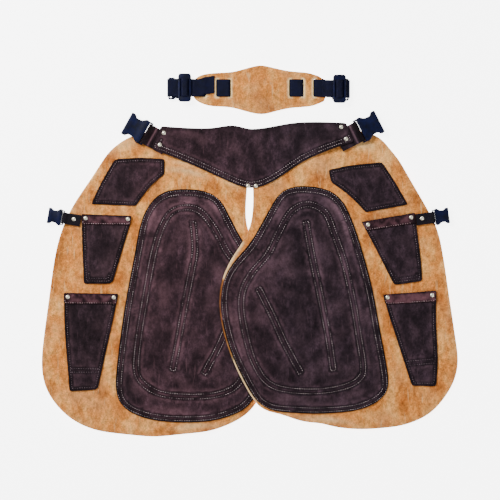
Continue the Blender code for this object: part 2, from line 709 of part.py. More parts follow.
CLIP_HALF = 1.9
CLIP_AXIS = 4.4
LOOP_MIDDLE = 3.5
MAIN_LEVEL = CLIP_AXIS + CLIP_HALF + SEAM_GAP + WEBBING / 2
TAIL_SHIFT = WEBBING + SEAM_GAP
SLIDER_LOW = MAIN_LEVEL + TAIL_SHIFT + WEBBING / 2 + SEAM_GAP
SLIDER_THICK = 3.4
CENTRE_BAR_THICK = 2.0
PAD_BASE = WEBBING + SEAM_GAP
OVER_PAD = PAD_BASE + PAD_WALL + SEAM_GAP + WEBBING / 2
UNDER_PAD = WEBBING / 2
SLIDER_BAR = 4.0
SLIDER_SLOT = 7.8
SLIDER_CENTRE = 5.0
SLIDER_LENGTH = 2 * SLIDER_BAR + 2 * SLIDER_SLOT + SLIDER_CENTRE
SLIDER_WIDTH = 62.0
SLIDER_PLAY = 0.9
CLIP_WIDTH = 48.0

# Belt ends: outer end of the loop, inner edge of the slider, end of the free tail, and how far each
# lies above or below the belt's middle line
SLOT_MARGIN = 1.25
RAMP_START = 16.0
RAMP_END = 7.0
BELT_ENDS = {
    "left": {"sign": -1, "end": 182.0, "slider": 129.0, "tail": 78.0, "bend": 103.0, "slider_y": 0.2,
             "web_y": 0.2, "clip_y": -1.0, "tail_y": 8.0},
    "right": {"sign": 1, "end": 219.5, "slider": 182.0, "tail": 158.0, "bend": 146.0, "slider_y": -2.4,
              "web_y": -2.4, "clip_y": -3.7, "tail_y": 1.5},
}


def offset_path(path, distance):
    """The path moved to its left by a distance, with mitred corners."""
    result = []
    for index, (x, z) in enumerate(path):
        x0, z0 = path[max(index - 1, 0)]
        x1, z1 = path[min(index + 1, len(path) - 1)]
        before = Vector((x - x0, z - z0))
        after = Vector((x1 - x, z1 - z))
        before = before.normalized() if before.length else after.normalized()
        after = after.normalized() if after.length else before
        left = Vector((-(before.y + after.y), before.x + after.x)).normalized()
        stretch = 1 / max(0.3, left.dot(Vector((-before.y, before.x))))
        result.append((x + left.x * distance * stretch, z + left.y * distance * stretch))
    return result


def belt_end_path(end):
    """From under the slider out to the clip's bar and back as the tail, all on the positive side."""
    crest_level = SLIDER_LOW + CENTRE_BAR_THICK + SEAM_GAP + WEBBING / 2
    start = end["slider"] + SLIDER_BAR + SLOT_MARGIN
    crest = start + crest_level - MAIN_LEVEL
    across = 2 * end["slider"] + SLIDER_LENGTH
    main = [(end["slider"] - RAMP_START, OVER_PAD), (end["slider"] - RAMP_END, MAIN_LEVEL),
            (start, MAIN_LEVEL), (crest, crest_level), (across - crest, crest_level),
            (across - start, MAIN_LEVEL)]
    bar_x = end["end"] - LOOP_MIDDLE - WEBBING / 2
    inner_x = bar_x - LOOP_MIDDLE
    main.append((inner_x - 1.6, MAIN_LEVEL))
    tail = offset_path(main[:-1] + [(bar_x, MAIN_LEVEL)], TAIL_SHIFT)
    turn = [(inner_x, MAIN_LEVEL - 1.6)]
    turn += arc((bar_x, CLIP_AXIS), LOOP_MIDDLE, 180, 360, 8)
    top = MAIN_LEVEL + TAIL_SHIFT
    turn += arc((bar_x, top - LOOP_MIDDLE), LOOP_MIDDLE, 0, 90, 4)
    return main, turn, list(reversed(tail))[1:]


def tail_path(end):
    """The free tail from the slider to its cut end, dropping onto the pad."""
    if end["sign"] > 0:
        return [(end["tail"], OVER_PAD + TAIL_SHIFT)]
    slot = abs(BELT_SLOTS_X[0])
    return [(slot + 1.0, OVER_PAD + TAIL_SHIFT), (slot - 8.0, OVER_PAD + 0.1), (end["tail"], OVER_PAD + 0.1)]


def weave_path():
    """The strap across the pad: under its middle, and up and down through the slots, left to right."""
    run = (OVER_PAD - UNDER_PAD) / math.tan(math.radians(60))
    levels = [OVER_PAD, UNDER_PAD, OVER_PAD, UNDER_PAD, OVER_PAD, UNDER_PAD, OVER_PAD]
    path = []
    for slot, before, after in zip(BELT_SLOTS_X, levels, levels[1:]):
        path.append((slot - run / 2, before))
        path.append((slot + run / 2, after))
    return path


def build_belt_webbing():
    left_main, left_turn, left_tail = belt_end_path(BELT_ENDS["left"])
    right_main, right_turn, right_tail = belt_end_path(BELT_ENDS["right"])
    left_free = tail_path(BELT_ENDS["left"])
    right_free = tail_path(BELT_ENDS["right"])
    left_out = left_main + left_turn + left_tail + left_free
    right_out = right_main + right_turn + right_tail + right_free
    path = [(-x, z) for x, z in reversed(left_out)]
    path += weave_path()
    path += right_out
    shifts = []
    total = len(path)
    for index, (x, z) in enumerate(path):
        end = BELT_ENDS["left" if x < 0 else "right"]
        reach = abs(x)
        shift = float(np.interp(reach, [end["bend"], end["slider"]], [0.0, end["web_y"]]))
        if index < len(left_free) or index >= total - len(right_free):
            share = (end["slider"] - reach) / (end["slider"] - end["tail"])
            shift = end["web_y"] + (end["tail_y"] - end["web_y"]) * share
        shifts.append(BELT_CENTRE_Y + shift)
    item = ribbon("back_webbing", path, BELT_WIDTH, WEBBING, "black_webbing", sideways=shifts)
    remember(item)


def build_belt_pad():
    outline = smooth_line(BELT_PAD, step=20.0)
    half = SLOT_WIDTH / 2
    reach = SLOT_LENGTH / 2
    holes = []
    for x in BELT_SLOTS_X:
        holes.append([(x - half, BELT_CENTRE_Y - reach), (x + half, BELT_CENTRE_Y - reach),
                      (x + half, BELT_CENTRE_Y + reach), (x - half, BELT_CENTRE_Y + reach)])
    cushion = smooth_line(BELT_PAD_CUSHION, step=14.0)
    left_end = min(point[0] for point in outline) - EDGE_STEP
    right_end = max(point[0] for point in outline) + EDGE_STEP
    rails = [[(left_end, BELT_CENTRE_Y + edge), (right_end, BELT_CENTRE_Y + edge)]
             for edge in (-PAD_RAIL, PAD_RAIL)]
    lattice = Lattice({"pad": outline}, PATCH_LATTICE, holes=holes, lines=[cushion + [cushion[0]]] + rails)
    away = np.maximum(0, np.abs(lattice.points[:, 1] - BELT_CENTRE_Y) - PAD_RAIL)
    lattice.base = PAD_BASE * (1 - np.clip(away / PAD_FALL, 0, 1))
    rise = padding_rise(lattice.points, cushion, BELT_PUFF, BELT_SHOULDER)
    remember(lattice.wall("back_pad", "pad", "tan_suede", thickness=PAD_WALL, rise=rise))


def build_belt_ends():
    for side, end in BELT_ENDS.items():
        sign = end["sign"]
        slider = slider_plate(side + "_belt_slider")
        middle = sign * (end["slider"] + SLIDER_LENGTH / 2)
        place(slider, (middle, BELT_CENTRE_Y + end["slider_y"]), 0.0, SLIDER_LOW + SLIDER_THICK / 2)
        clip = male_clip(side + "_belt_clip")
        bar_x = sign * (end["end"] - LOOP_MIDDLE - WEBBING / 2)
        turn = 0.0 if sign < 0 else 180.0
        place(clip, (bar_x, BELT_CENTRE_Y + end["clip_y"]), turn, CLIP_AXIS)


def slider_plate(name):
    """Frame with two slots: bars at both ends, and a thinner bar in the middle."""
    half_length = SLIDER_LENGTH / 2
    half_width = SLIDER_WIDTH / 2
    corner = 5.0
    outline = [(-half_length, half_width - corner), (-half_length + corner, half_width),
               (half_length - corner, half_width), (half_length, half_width - corner)]
    body = plate(name, mirrored(outline), SLIDER_THICK, 0.8, PARTS)
    hole_x = SLIDER_SLOT + SLIDER_CENTRE / 2
    hole_y = BELT_WIDTH / 2 + SLIDER_PLAY
    opening = box(name + "_opening", (-hole_x, -hole_y, -10), (hole_x, hole_y, 10))
    low = -SLIDER_THICK / 2
    bar = box(name + "_bar", (-SLIDER_CENTRE / 2, -hole_y - 3, low),
              (SLIDER_CENTRE / 2, hole_y + 3, low + CENTRE_BAR_THICK))
    combine(body, opening, "DIFFERENCE")
    combine(body, bar, "UNION")
    opening.parent = body
    bar.parent = body
    finish_with(body, "black_plastic")
    return body


def male_clip(name):
    """Fork with a webbing bar at its origin, a guide tongue and two sprung prongs, lying flat."""
    half_web = BELT_WIDTH / 2 + 1.5
    half = [(-1.7, 22.0), (0.5, 24.0), (11.0, 24.0), (14.0, 21.0), (24.0, 22.5), (30.0, 24.0), (34.5, 21.0),
            (35.5, 17.5), (31.0, 17.5), (27.0, 18.5), (15.0, 16.0), (14.0, 5.0), (33.0, 4.0)]
    body = plate(name, mirrored(half), 2 * CLIP_HALF, 0.5, PARTS)
    slot = box(name + "_slot", (1.7, -half_web, -10), (5.6, half_web, 10))
    combine(body, slot, "DIFFERENCE")
    slot.parent = body
    finish_with(body, "black_plastic")
    return body


build_legs()
build_straps()
build_yoke()
build_rivets()
build_buckles()
build_belt_webbing()
build_belt_pad()
build_belt_ends()
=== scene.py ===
# %% [markdown]
# # A farrier's apron, laid flat with its back belt
# The imported model gives every part its place. Its panels are plain walls with large triangles, and this
# lesson gives them a finer form, sewing, nap and wear, with painted shade and painted highlights. It starts
# with the model's box, which the dressed pieces have to stay in.

# %% Load the frame
import math

import bmesh
import bpy
import numpy as np
from mathutils import Matrix, Vector, noise
from mathutils.bvhtree import BVHTree
from mathutils.geometry import interpolate_bezier
from mathutils.kdtree import KDTree


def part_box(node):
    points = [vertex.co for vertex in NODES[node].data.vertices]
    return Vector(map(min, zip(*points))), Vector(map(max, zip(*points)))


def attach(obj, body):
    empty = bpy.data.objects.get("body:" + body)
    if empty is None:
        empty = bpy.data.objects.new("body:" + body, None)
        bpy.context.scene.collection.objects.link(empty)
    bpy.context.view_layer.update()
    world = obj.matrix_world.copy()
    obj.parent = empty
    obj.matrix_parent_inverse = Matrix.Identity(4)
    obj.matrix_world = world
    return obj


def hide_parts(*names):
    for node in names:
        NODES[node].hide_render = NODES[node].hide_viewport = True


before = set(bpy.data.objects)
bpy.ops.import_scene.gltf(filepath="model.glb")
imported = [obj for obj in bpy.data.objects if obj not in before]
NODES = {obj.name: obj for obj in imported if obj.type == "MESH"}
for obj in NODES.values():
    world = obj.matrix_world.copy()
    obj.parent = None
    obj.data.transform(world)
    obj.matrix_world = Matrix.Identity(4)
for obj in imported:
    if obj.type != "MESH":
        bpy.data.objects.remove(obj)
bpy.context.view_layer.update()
MM = 0.001

# %% [markdown]
# ## Camera and studio
# The apron is seen from straight above. A long lens keeps its outline true to size, and one pixel of a
# 500 pixel picture is 2.2 mm at the floor. A large soft light at the upper left gives the nap and the
# seams their shading, and a weaker one opposite keeps the shadows open.

# %% Camera
PIXEL = 2.2 * MM
PICTURE = 500
LENS = 100.0
SENSOR = 36.0

camera_data = bpy.data.cameras.new("camera")
camera_data.lens = LENS
camera_data.sensor_width = SENSOR
camera = bpy.data.objects.new("camera", camera_data)
camera.location = (0.0, PIXEL, PIXEL * PICTURE * LENS / SENSOR)
bpy.context.scene.collection.objects.link(camera)
bpy.context.scene.camera = camera
print("camera height:", round(camera.location.z, 3))

# %% Objects from meshes


def link_object(name, data):
    made = bpy.data.objects.new(name, data)
    bpy.context.scene.collection.objects.link(made)
    return made


def object_from(name, mesh):
    """Turns a bmesh in millimetres into an object in metres, with smooth shading."""
    bmesh.ops.scale(mesh, vec=(MM, MM, MM), verts=mesh.verts)
    data = bpy.data.meshes.new(name)
    mesh.to_mesh(data)
    mesh.free()
    data.shade_smooth()
    return link_object(name, data)


# %% Lights and floor
SKY = (0.92, 0.95, 1.0, 1.0)
SKY_STRENGTH = 0.30
FLOOR_DROP = 0.6
FLOOR_SIZE = 9000.0
FLOOR_GLOW = 5.5


def area_light(name, place, size, watts):
    """A square soft light that looks at the middle of the apron."""
    data = bpy.data.lights.new(name, "AREA")
    data.size = size
    data.energy = watts
    lamp = link_object(name, data)
    lamp.location = place
    lamp.rotation_euler = Vector(place).to_track_quat("Z", "Y").to_euler()


area_light("key_light", (-1.6, 1.5, 1.7), 1.0, 120.0)
area_light("fill_light", (2.0, -1.4, 1.9), 1.8, 46.0)
world = bpy.data.worlds.new("studio")
world.use_nodes = True
world.node_tree.nodes["Background"].inputs["Color"].default_value = SKY
world.node_tree.nodes["Background"].inputs["Strength"].default_value = SKY_STRENGTH
bpy.context.scene.world = world

floor_mesh = bmesh.new()
bmesh.ops.create_grid(floor_mesh, x_segments=1, y_segments=1, size=FLOOR_SIZE)
bmesh.ops.translate(floor_mesh, vec=(0, 0, -FLOOR_DROP), verts=floor_mesh.verts)
floor = object_from("floor", floor_mesh)

# %% [markdown]
# ## Materials from nodes
# Each finish is a tree of noise, ramps and bump on the shader. A few short helpers keep the trees
# readable: they add a node with its settings, feed a socket, and make a ramp, a bump or a sum.

# %% Node helpers


def linear(red, green, blue):
    """A colour from 0 to 255 as a photograph shows it, in the renderer's own linear values."""
    values = [value / 255 for value in (red, green, blue)]
    return tuple(v / 12.92 if v < 0.04045 else ((v + 0.055) / 1.055) ** 2.4 for v in values) + (1.0,)


def start(name, **sockets):
    """A new material and its shader, with the shader's constant values set."""
    material = bpy.data.materials.new(name)
    material.use_nodes = True
    shader = material.node_tree.nodes["Principled BSDF"]
    for socket, value in sockets.items():
        shader.inputs[socket.replace("_", " ")].default_value = value
    return material, shader


def add(material, kind, links=(), **settings):
    """Adds a shader node. A setting is one of its sockets' names or one of its own properties."""
    node = material.node_tree.nodes.new("ShaderNode" + kind)
    for key, value in settings.items():
        socket = node.inputs.get(key.replace("_", " "))
        if socket is not None:
            socket.default_value = value
        else:
            setattr(node, key, value)
    for source, target in links:
        material.node_tree.links.new(source, node.inputs[target])
    return node


def feed(material, target, value):
    """Gives a socket its value, which is another node's output or a constant."""
    if isinstance(value, bpy.types.NodeSocket):
        material.node_tree.links.new(value, target)
    else:
        target.default_value = value


def maths(material, operation, first, second, clamp=False):
    """One step of arithmetic on two values."""
    node = add(material, "Math", operation=operation, use_clamp=clamp)
    feed(material, node.inputs[0], first)
    feed(material, node.inputs[1], second)
    return node.outputs[0]


def bump(material, height, strength, depth, below=None):
    """Normals raised by a height pattern, over another bump's normals where below is given."""
    links = [(height, "Height")] + ([(below, "Normal")] if below is not None else [])
    return add(material, "Bump", links, Strength=strength, Distance=depth).outputs[0]


def ramp(material, source, stops):
    """A colour ramp: stops are (position, colour) from low to high."""
    node = add(material, "ValToRGB", [(source, "Fac")])
    elements = node.color_ramp.elements
    elements[0].position, elements[0].color = stops[0]
    elements[1].position, elements[1].color = stops[-1]
    for position, colour in stops[1:-1]:
        elements.new(position).color = colour
    return node.outputs["Color"]


def grey(level):
    return (level, level, level, 1.0)


floor_finish = start("floor_finish", Base_Color=grey(0.9), Roughness=0.9, Emission_Color=grey(1.0),
                     Emission_Strength=FLOOR_GLOW)[0]
floor.data.materials.append(floor_finish)

# %% [markdown]
# ## Suede
# Suede is leather with its nap brushed up. Up close it is a felt of short fibres, a hand's width away
# it is blotchy, because the nap lies in different directions, and it is rubbed pale along ridges.
# A picture of suede would give this in one step, but it would repeat and stretch. Here three sizes of noise
# on object coordinates mix three tones, and an attribute that each cloth piece carries adds the paler wear
# where hands and seams have polished it, with painted highlights on ridges and edges. Where the attribute is
# negative it darkens the colour as painted shade along cut edges, in the grooves of seams and where a loop
# bends.

# %% Suede material


def blend_colours(material, factor, first, second, mode="MIX"):
    """Mixes two colours. Each is a socket or a colour, and the factor is a socket or a number."""
    node = add(material, "Mix", data_type="RGBA", blend_type=mode)
    for slot, value in ((0, factor), (6, first), (7, second)):
        feed(material, node.inputs[slot], value)
    return node.outputs[2]


def cloud_noise(material, place, scale, stretch=(1.0, 1.0, 1.0), turn=0.0, **settings):
    """Noise on object coordinates, stretched and turned in the floor plan."""
    mapped = add(material, "Mapping", [(place, "Vector")], Scale=stretch,
                 Rotation=(0, 0, math.radians(turn)))
    return add(material, "TexNoise", [(mapped.outputs[0], "Vector")], Scale=scale,
               **settings).outputs["Fac"]


def suede(name, tones, wear_and_light_tone, blotch, grain, streak, tone_gradient=None):
    """Suede in three tones, dark to pale. blotch, grain: patches in a metre. The gradient is axis, low, high
    and the stops of a ramp that multiplies the colour along that axis.
    """
    deep, main, pale = tones
    material, shader = start(name, Roughness=0.95, Sheen_Weight=0.12, Sheen_Roughness=0.5,
                             Specular_IOR_Level=0.12, Sheen_Tint=wear_and_light_tone)
    place = add(material, "TexCoord").outputs["Object"]
    cloud = cloud_noise(material, place, blotch, (1.0, 0.6, 1.0), 24, Detail=7.0, Roughness=0.66)
    colour = ramp(material, cloud, [(0.32, deep), (0.50, main), (0.66, pale)])
    mottle = cloud_noise(material, place, grain, (1.0, 0.8, 1.0), -20, Detail=5.0, Roughness=0.75)
    patches = ramp(material, mottle, [(0.33, grey(0.58)), (0.67, grey(1.46))])
    colour = blend_colours(material, 1.0, colour, patches, "MULTIPLY")
    fibre = cloud_noise(material, place, 420.0, Detail=4.0, Roughness=0.7)
    hairs = ramp(material, fibre, [(0.32, grey(0.68)), (0.70, grey(1.36))])
    colour = blend_colours(material, 1.0, colour, hairs, "MULTIPLY")
    scratch = cloud_noise(material, place, 170.0, (1.0, 0.14, 1.0), -38, Detail=3.0, Roughness=0.55)
    scratches = ramp(material, scratch, [(0.60, grey(0.0)), (0.74, grey(streak))])
    # Positive values of the attribute mix towards the pale colour: worn nap, with painted highlights on
    # ridges, along edges and in the middle of a waist loop.
    wear_and_shading = add(material, "Attribute", attribute_name="wear_and_shading").outputs["Fac"]
    paleness = maths(material, "MULTIPLY", maths(material, "MULTIPLY", wear_and_shading, mottle), 1.8)
    wear_and_highlight = maths(material, "MAXIMUM", paleness, scratches, clamp=True)
    colour = blend_colours(material, wear_and_highlight, colour, wear_and_light_tone)
    # Negative values darken the colour towards a third of it: painted shade along cut edges, in the grooves
    # of seams and at a waist loop's bend, and one darker stretch of the tan.
    shade = maths(material, "MULTIPLY", wear_and_shading, -1.0, clamp=True)
    darkened = blend_colours(material, 1.0, colour, grey(0.3), "MULTIPLY")
    colour = blend_colours(material, shade, colour, darkened)
    if tone_gradient:
        axis, low, high, stops = tone_gradient
        split = add(material, "SeparateXYZ", [(place, "Vector")])
        rise = add(material, "MapRange", [(split.outputs[axis], "Value")], From_Min=low, From_Max=high)
        colour = blend_colours(material, 1.0, colour, ramp(material, rise.outputs[0], stops), "MULTIPLY")
    feed(material, shader.inputs["Base Color"], colour)
    coarse = bump(material, mottle, 0.5, 1.0 * MM)
    feed(material, shader.inputs["Normal"], bump(material, fibre, 0.6, 0.45 * MM, coarse))
    return material


# The tan is multiplied paler towards the top of the floor plan: painted light, as if the upper part were lit
# more.
TAN = suede("tan_nap", (linear(160, 88, 34), linear(204, 130, 62), linear(228, 166, 94)),
            linear(250, 222, 168), blotch=24.0, grain=135.0, streak=0.30,
            tone_gradient=("Y", -0.36, 0.26, [(0.0, (0.98, 0.93, 0.88, 1.0)), (0.5, (0.98, 0.92, 0.86, 1.0)),
                                     (1.0, (0.98, 0.97, 0.93, 1.0))]))
DARK = suede("dark_nap", (linear(22, 15, 19), linear(36, 26, 31), linear(54, 40, 47)),
             linear(106, 80, 88), blotch=44.0, grain=140.0, streak=0.20,
             tone_gradient=("X", -0.42, 0.10, [(0.0, (0.80, 0.76, 0.78, 1.0)), (0.28, (1.0, 0.92, 0.92, 1.0)),
                                      (0.38, (1.44, 1.22, 1.22, 1.0)), (0.72, (1.30, 1.14, 1.16, 1.0)),
                                      (1.0, (1.0, 0.98, 1.04, 1.0))]))
BAND = suede("band_nap", (linear(22, 12, 16), linear(37, 21, 26), linear(60, 37, 43)),
             linear(124, 82, 90), blotch=70.0, grain=160.0, streak=0.3)
CUT_EDGE = suede("cut_edge", (linear(190, 136, 84), linear(214, 168, 116), linear(228, 190, 142)),
                 linear(240, 216, 180), blotch=90.0, grain=200.0, streak=0.0)
print("suedes:", TAN.name, DARK.name, BAND.name, CUT_EDGE.name)

# %% [markdown]
# ## Webbing, plastic, rivets and thread
# The webbing is a narrow weave with ribs across it, the buckles are moulded plastic with a fine grain,
# and the rivets are plated. Thread is a pale cord that the suede half swallows.

# %% Other materials


def webbing_finish(name, turn, dark, light):
    """Woven strap from dark to light: ribs across its length, which runs at the given turn in degrees."""
    material, shader = start(name, Roughness=0.75, Specular_IOR_Level=0.16)
    place = add(material, "TexCoord").outputs["Object"]
    along = add(material, "Mapping", [(place, "Vector")], vector_type="POINT",
                Rotation=(0, 0, math.radians(-turn)))
    ribs = add(material, "TexWave", [(along.outputs[0], "Vector")], bands_direction="X",
               Scale=180.0, Distortion=0.4, Detail=1.0)
    strands = add(material, "TexWave", [(along.outputs[0], "Vector")], bands_direction="Y",
                  Scale=150.0, Distortion=0.3)
    weave = maths(material, "ADD", ribs.outputs["Fac"], strands.outputs["Fac"])
    fluff = add(material, "TexNoise", [(place, "Vector")], Scale=90.0, Detail=5.0)
    uneven = maths(material, "MULTIPLY", weave, fluff.outputs["Fac"])
    feed(material, shader.inputs["Base Color"], ramp(material, uneven, [(0.2, dark), (0.9, light)]))
    feed(material, shader.inputs["Normal"], bump(material, weave, 0.6, 0.35 * MM))
    return material


def grained(name, dark, light, roughness, metallic, scale, depth, gloss=0.4):
    """A smooth hard finish: two close tones and a fine grain."""
    material, shader = start(name, Roughness=roughness, Metallic=metallic, Specular_IOR_Level=gloss)
    place = add(material, "TexCoord").outputs["Object"]
    cloud = add(material, "TexNoise", [(place, "Vector")], Scale=scale, Detail=4.0)
    colour = ramp(material, cloud.outputs["Fac"], [(0.35, dark), (0.65, light)])
    feed(material, shader.inputs["Base Color"], colour)
    grain = add(material, "TexNoise", [(place, "Vector")], Scale=scale * 14, Detail=2.0)
    feed(material, shader.inputs["Normal"], bump(material, grain.outputs["Fac"], 0.35, depth))
    return material


# The bar of each buckle: its place on the floor plan, and the turn of the strap that goes round it
BARS = {
    "left_waist": ((-226.0, 256.5), 151.0), "right_waist": ((238.7, 261.8), 27.0),
    "left_leg": ((-409.4, 72.6), 170.0), "right_leg": ((402.4, 73.7), 8.0),
}
BELT_WEBBING = webbing_finish("belt_webbing", 0.0, linear(0, 2, 14), linear(6, 9, 46))
LEG_WEBBING = {side: webbing_finish(side + "_leg_webbing", BARS[side + "_leg"][1], linear(7, 4, 10),
                                    linear(20, 13, 26)) for side in ("left", "right")}
PLASTIC = grained("moulded_plastic", linear(0, 3, 25), linear(2, 9, 49), 0.46, 0.0, 75.0, 0.08 * MM, 0.2)
RIVET_METAL = grained("rivet_metal", linear(236, 226, 196), linear(255, 250, 230), 0.36, 0.75, 300.0,
                      0.02 * MM)
THREAD = grained("thread", linear(44, 32, 38), linear(236, 214, 214), 0.8, 0.0, 85.0, 0.05 * MM)
PATCH_THREAD = grained("patch_thread", linear(40, 29, 36), linear(150, 128, 136), 0.8, 0.0, 85.0, 0.05 * MM)
BAND_THREAD = grained("band_thread", linear(120, 80, 84), linear(222, 190, 192), 0.8, 0.0, 70.0, 0.05 * MM)
TAN_THREAD = grained("tan_thread", linear(140, 88, 46), linear(206, 160, 104), 0.8, 0.0, 60.0, 0.05 * MM)
print("finishes:", len(bpy.data.materials))

# %% [markdown]
# ## Lines on the leather
# Seams, creases and worn streaks all follow lines, so they share two helpers: one bends a smooth line
# through a few places, and one gives each point of a cloth its distance to a line and how far along the
# line its nearest spot is.

# %% Smooth lines and distances


def smooth_line(rows, step=4.0, closed=False):
    """Points about step apart on a smooth line through the rows."""
    points = [Vector(row).to_3d() for row in rows]
    count = len(points)
    line = []
    for index in range(count if closed else count - 1):
        here = points[index]
        there = points[(index + 1) % count]
        before = points[index - 1] if closed or index else here
        after = points[(index + 2) % count] if closed or index + 2 < count else there
        pieces = max(1, round((there - here).length / step))
        stretch = interpolate_bezier(here, here + (there - before) / 6, there - (after - here) / 6, there,
                                     pieces + 1)
        line.extend(point.to_2d() for point in stretch[:-1])
    line.append(points[0].to_2d() if closed else points[-1].to_2d())
    return np.array([tuple(point) for point in line])


def along_line(line, step, offset=0.0):
    """Points at even steps along a line."""
    lengths = np.concatenate([[0.0], np.cumsum(np.linalg.norm(np.diff(line, axis=0), axis=1))])
    spots = np.arange(offset, lengths[-1], step)
    return np.stack([np.interp(spots, lengths, line[:, axis]) for axis in (0, 1)], axis=1)


def near_line(points, line):
    """Distance of each point to a line, and the share of the line before the nearest spot."""
    nearest = np.full(len(points), np.inf)
    share = np.zeros(len(points))
    lengths = np.linalg.norm(np.diff(line, axis=0), axis=1)
    total = lengths.sum()
    passed = 0.0
    for first, second, length in zip(line, line[1:], lengths):
        along = second - first
        part = np.clip(((points - first) @ along) / max(length * length, 1e-9), 0, 1)
        away = np.linalg.norm(points - (first + part[:, None] * along), axis=1)
        closer = away < nearest
        nearest[closer] = away[closer]
        share[closer] = (passed + part[closer] * length) / total
        passed += length
    return nearest, share


def row_distance(points, rows, step=0.8):
    """Distance of each point to the nearest of several rows, by a tree of places along them."""
    spots = np.vstack([along_line(row, step) for row in rows])
    tree = KDTree(len(spots))
    for index, (x, y) in enumerate(spots):
        tree.insert((x, y, 0.0), index)
    tree.balance()
    return np.array([tree.find((x, y, 0.0))[2] for x, y in points])


def stroke(points, rows):
    """Soft strokes: each row is x0, y0, x1, y1, bend, height, half width. They fade at both ends."""
    total = np.zeros(len(points))
    for x0, y0, x1, y1, bend, height, width in rows:
        middle = ((x0 + x1) / 2 - bend * (y1 - y0), (y0 + y1) / 2 + bend * (x1 - x0))
        away, share = near_line(points, smooth_line([(x0, y0), middle, (x1, y1)], step=12.0))
        total += height * np.sin(np.pi * np.clip(share, 0.04, 0.96)) ** 0.7 * np.exp(-(away / width) ** 2)
    return total


# %% [markdown]
# ## Creases of the laid cloth
# The leather lies on the floor, so a crease can only rise. The large ones are already in the solids.
# These are the smaller ones, each listed with its own length, height and width, and a slow swell of well
# under a millimetre keeps any panel from looking ironed. All layers of a leg read the same field, so a patch
# rises with the panel under it and nothing cuts through.

# %% Crease field
SWELL = 0.7
SWELL_SIZE = 64.0
LEG_CREASES = [
    (-178, 186, -92, 170, 0.06, 1.5, 8), (-150, 205, -70, 178, -0.05, 1.1, 7),
    (-110, 156, -40, 141, 0.08, 1.6, 8), (-30, 160, -22, 100, 0.05, 1.3, 7),
    (-292, 232, -226, 214, 0.08, 1.4, 7), (-330, 172, -362, 118, -0.06, 1.6, 8),
    (-448, -60, -436, -150, 0.03, 1.5, 9), (-425, 20, -412, -60, 0.04, 1.0, 7),
    (-424, -330, -372, -372, 0.1, 1.8, 10), (-300, -386, -238, -396, 0.05, 1.6, 9),
    (-190, -384, -130, -398, -0.06, 1.4, 8), (-60, -372, -38, -384, 0.05, 1.2, 7),
    (-318, -330, -300, -392, 0.05, 1.3, 7), (-262, 60, -238, -20, 0.03, 1.0, 7),
    (-296, -180, -310, -250, 0.04, 1.0, 7), (30, 176, 96, 198, 0.05, 1.4, 8),
    (20, 150, 46, 110, -0.06, 1.2, 7), (120, 176, 196, 214, 0.04, 1.2, 8),
    (214, 232, 292, 216, -0.06, 1.4, 8), (330, 178, 372, 112, 0.05, 1.5, 8),
    (428, 0, 440, -70, 0.03, 1.4, 8), (436, -180, 446, -236, 0.03, 1.3, 8),
    (404, -338, 356, -366, -0.08, 1.6, 9), (212, -366, 268, -374, 0.05, 1.3, 8),
    (80, -358, 116, -368, -0.05, 1.2, 7), (310, -310, 330, -370, 0.05, 1.3, 7),
    (262, 40, 276, -40, -0.03, 1.0, 7), (300, -150, 312, -230, 0.03, 1.0, 7),
]
KNEE_CREASES = [
    (-232, 40, -214, -90, 0.03, 0.9, 9), (-268, -120, -262, -240, 0.03, 0.8, 8),
    (-200, -150, -214, -262, 0.04, 1.1, 12), (-96, 20, -78, -110, 0.04, 1.2, 11),
    (-160, -20, -176, -130, 0.03, 1.0, 12), (-120, -200, -140, -300, 0.05, 1.1, 12),
    (-60, -60, -20, -150, -0.05, 1.0, 10), (-180, -344, -100, -352, 0.04, 0.9, 8),
    (-104, 118, -60, 88, 0.05, 0.9, 8), (226, 76, 254, -50, 0.04, 1.3, 9),
    (204, 20, 232, -120, 0.03, 1.1, 9), (172, -70, 198, -220, 0.03, 1.2, 11),
    (98, 20, 112, -120, 0.04, 1.1, 12), (48, -60, 92, -190, 0.04, 1.0, 12),
    (18, -150, 52, -260, 0.04, 1.0, 11), (-40, -90, -30, -200, 0.03, 0.8, 8),
    (120, -200, 150, -300, 0.04, 1.0, 11), (120, -334, 210, -338, 0.03, 0.9, 8),
    (70, 130, 140, 128, 0.06, 0.9, 8), (276, -180, 288, -270, 0.03, 0.9, 8),
]
YOKE_CREASES = [
    (-40, 268, -18, 208, 0.08, 1.6, 6), (-18, 262, 2, 214, 0.06, 1.3, 6),
    (-66, 262, -52, 200, 0.05, 1.0, 8), (-120, 262, -102, 214, 0.05, 0.9, 8),
    (-160, 256, -150, 222, 0.04, 0.7, 7), (60, 268, 52, 206, 0.05, 1.0, 8),
    (104, 272, 96, 224, 0.05, 1.1, 8), (150, 274, 142, 240, 0.05, 0.8, 7), (14, 200, 30, 160, 0.05, 0.8, 7),
    (-20, 190, -28, 158, -0.05, 0.8, 7), (176, 268, 172, 240, 0.04, 0.8, 6),
]
# Places where a strap or a buckle bears on the cloth and keeps it flat: x, y, radius
PRESSED = [(-208, 246, 58), (220, 254, 58), (-396, 72, 44), (388, 73, 44)]


def slow_noise(points, size, seed):
    return np.array([noise.noise(Vector((x / size, y / size, seed))) for x, y in points])


def cloth_lift(points):
    """How far the laid cloth rises above its solid, in millimetres, never less than nothing."""
    lift = SWELL * (0.5 + 0.5 * slow_noise(points, SWELL_SIZE, 3.1)) + stroke(points, LEG_CREASES)
    for x, y, radius in PRESSED:
        away = np.hypot(points[:, 0] - x, points[:, 1] - y)
        lift *= np.clip((away - radius) / 26, 0, 1)
    return np.maximum(lift, 0)


print("creases:", len(LEG_CREASES) + len(KNEE_CREASES) + len(YOKE_CREASES))

# %% [markdown]
# ## Rows of sewing
# Knee patches are sewn twice round the edge, twice round the padding, and with two closed strips that
# run down over the shin. The rows are lines on the floor plan. They press a shallow groove into the
# leather, and later every stitch is laid in it.

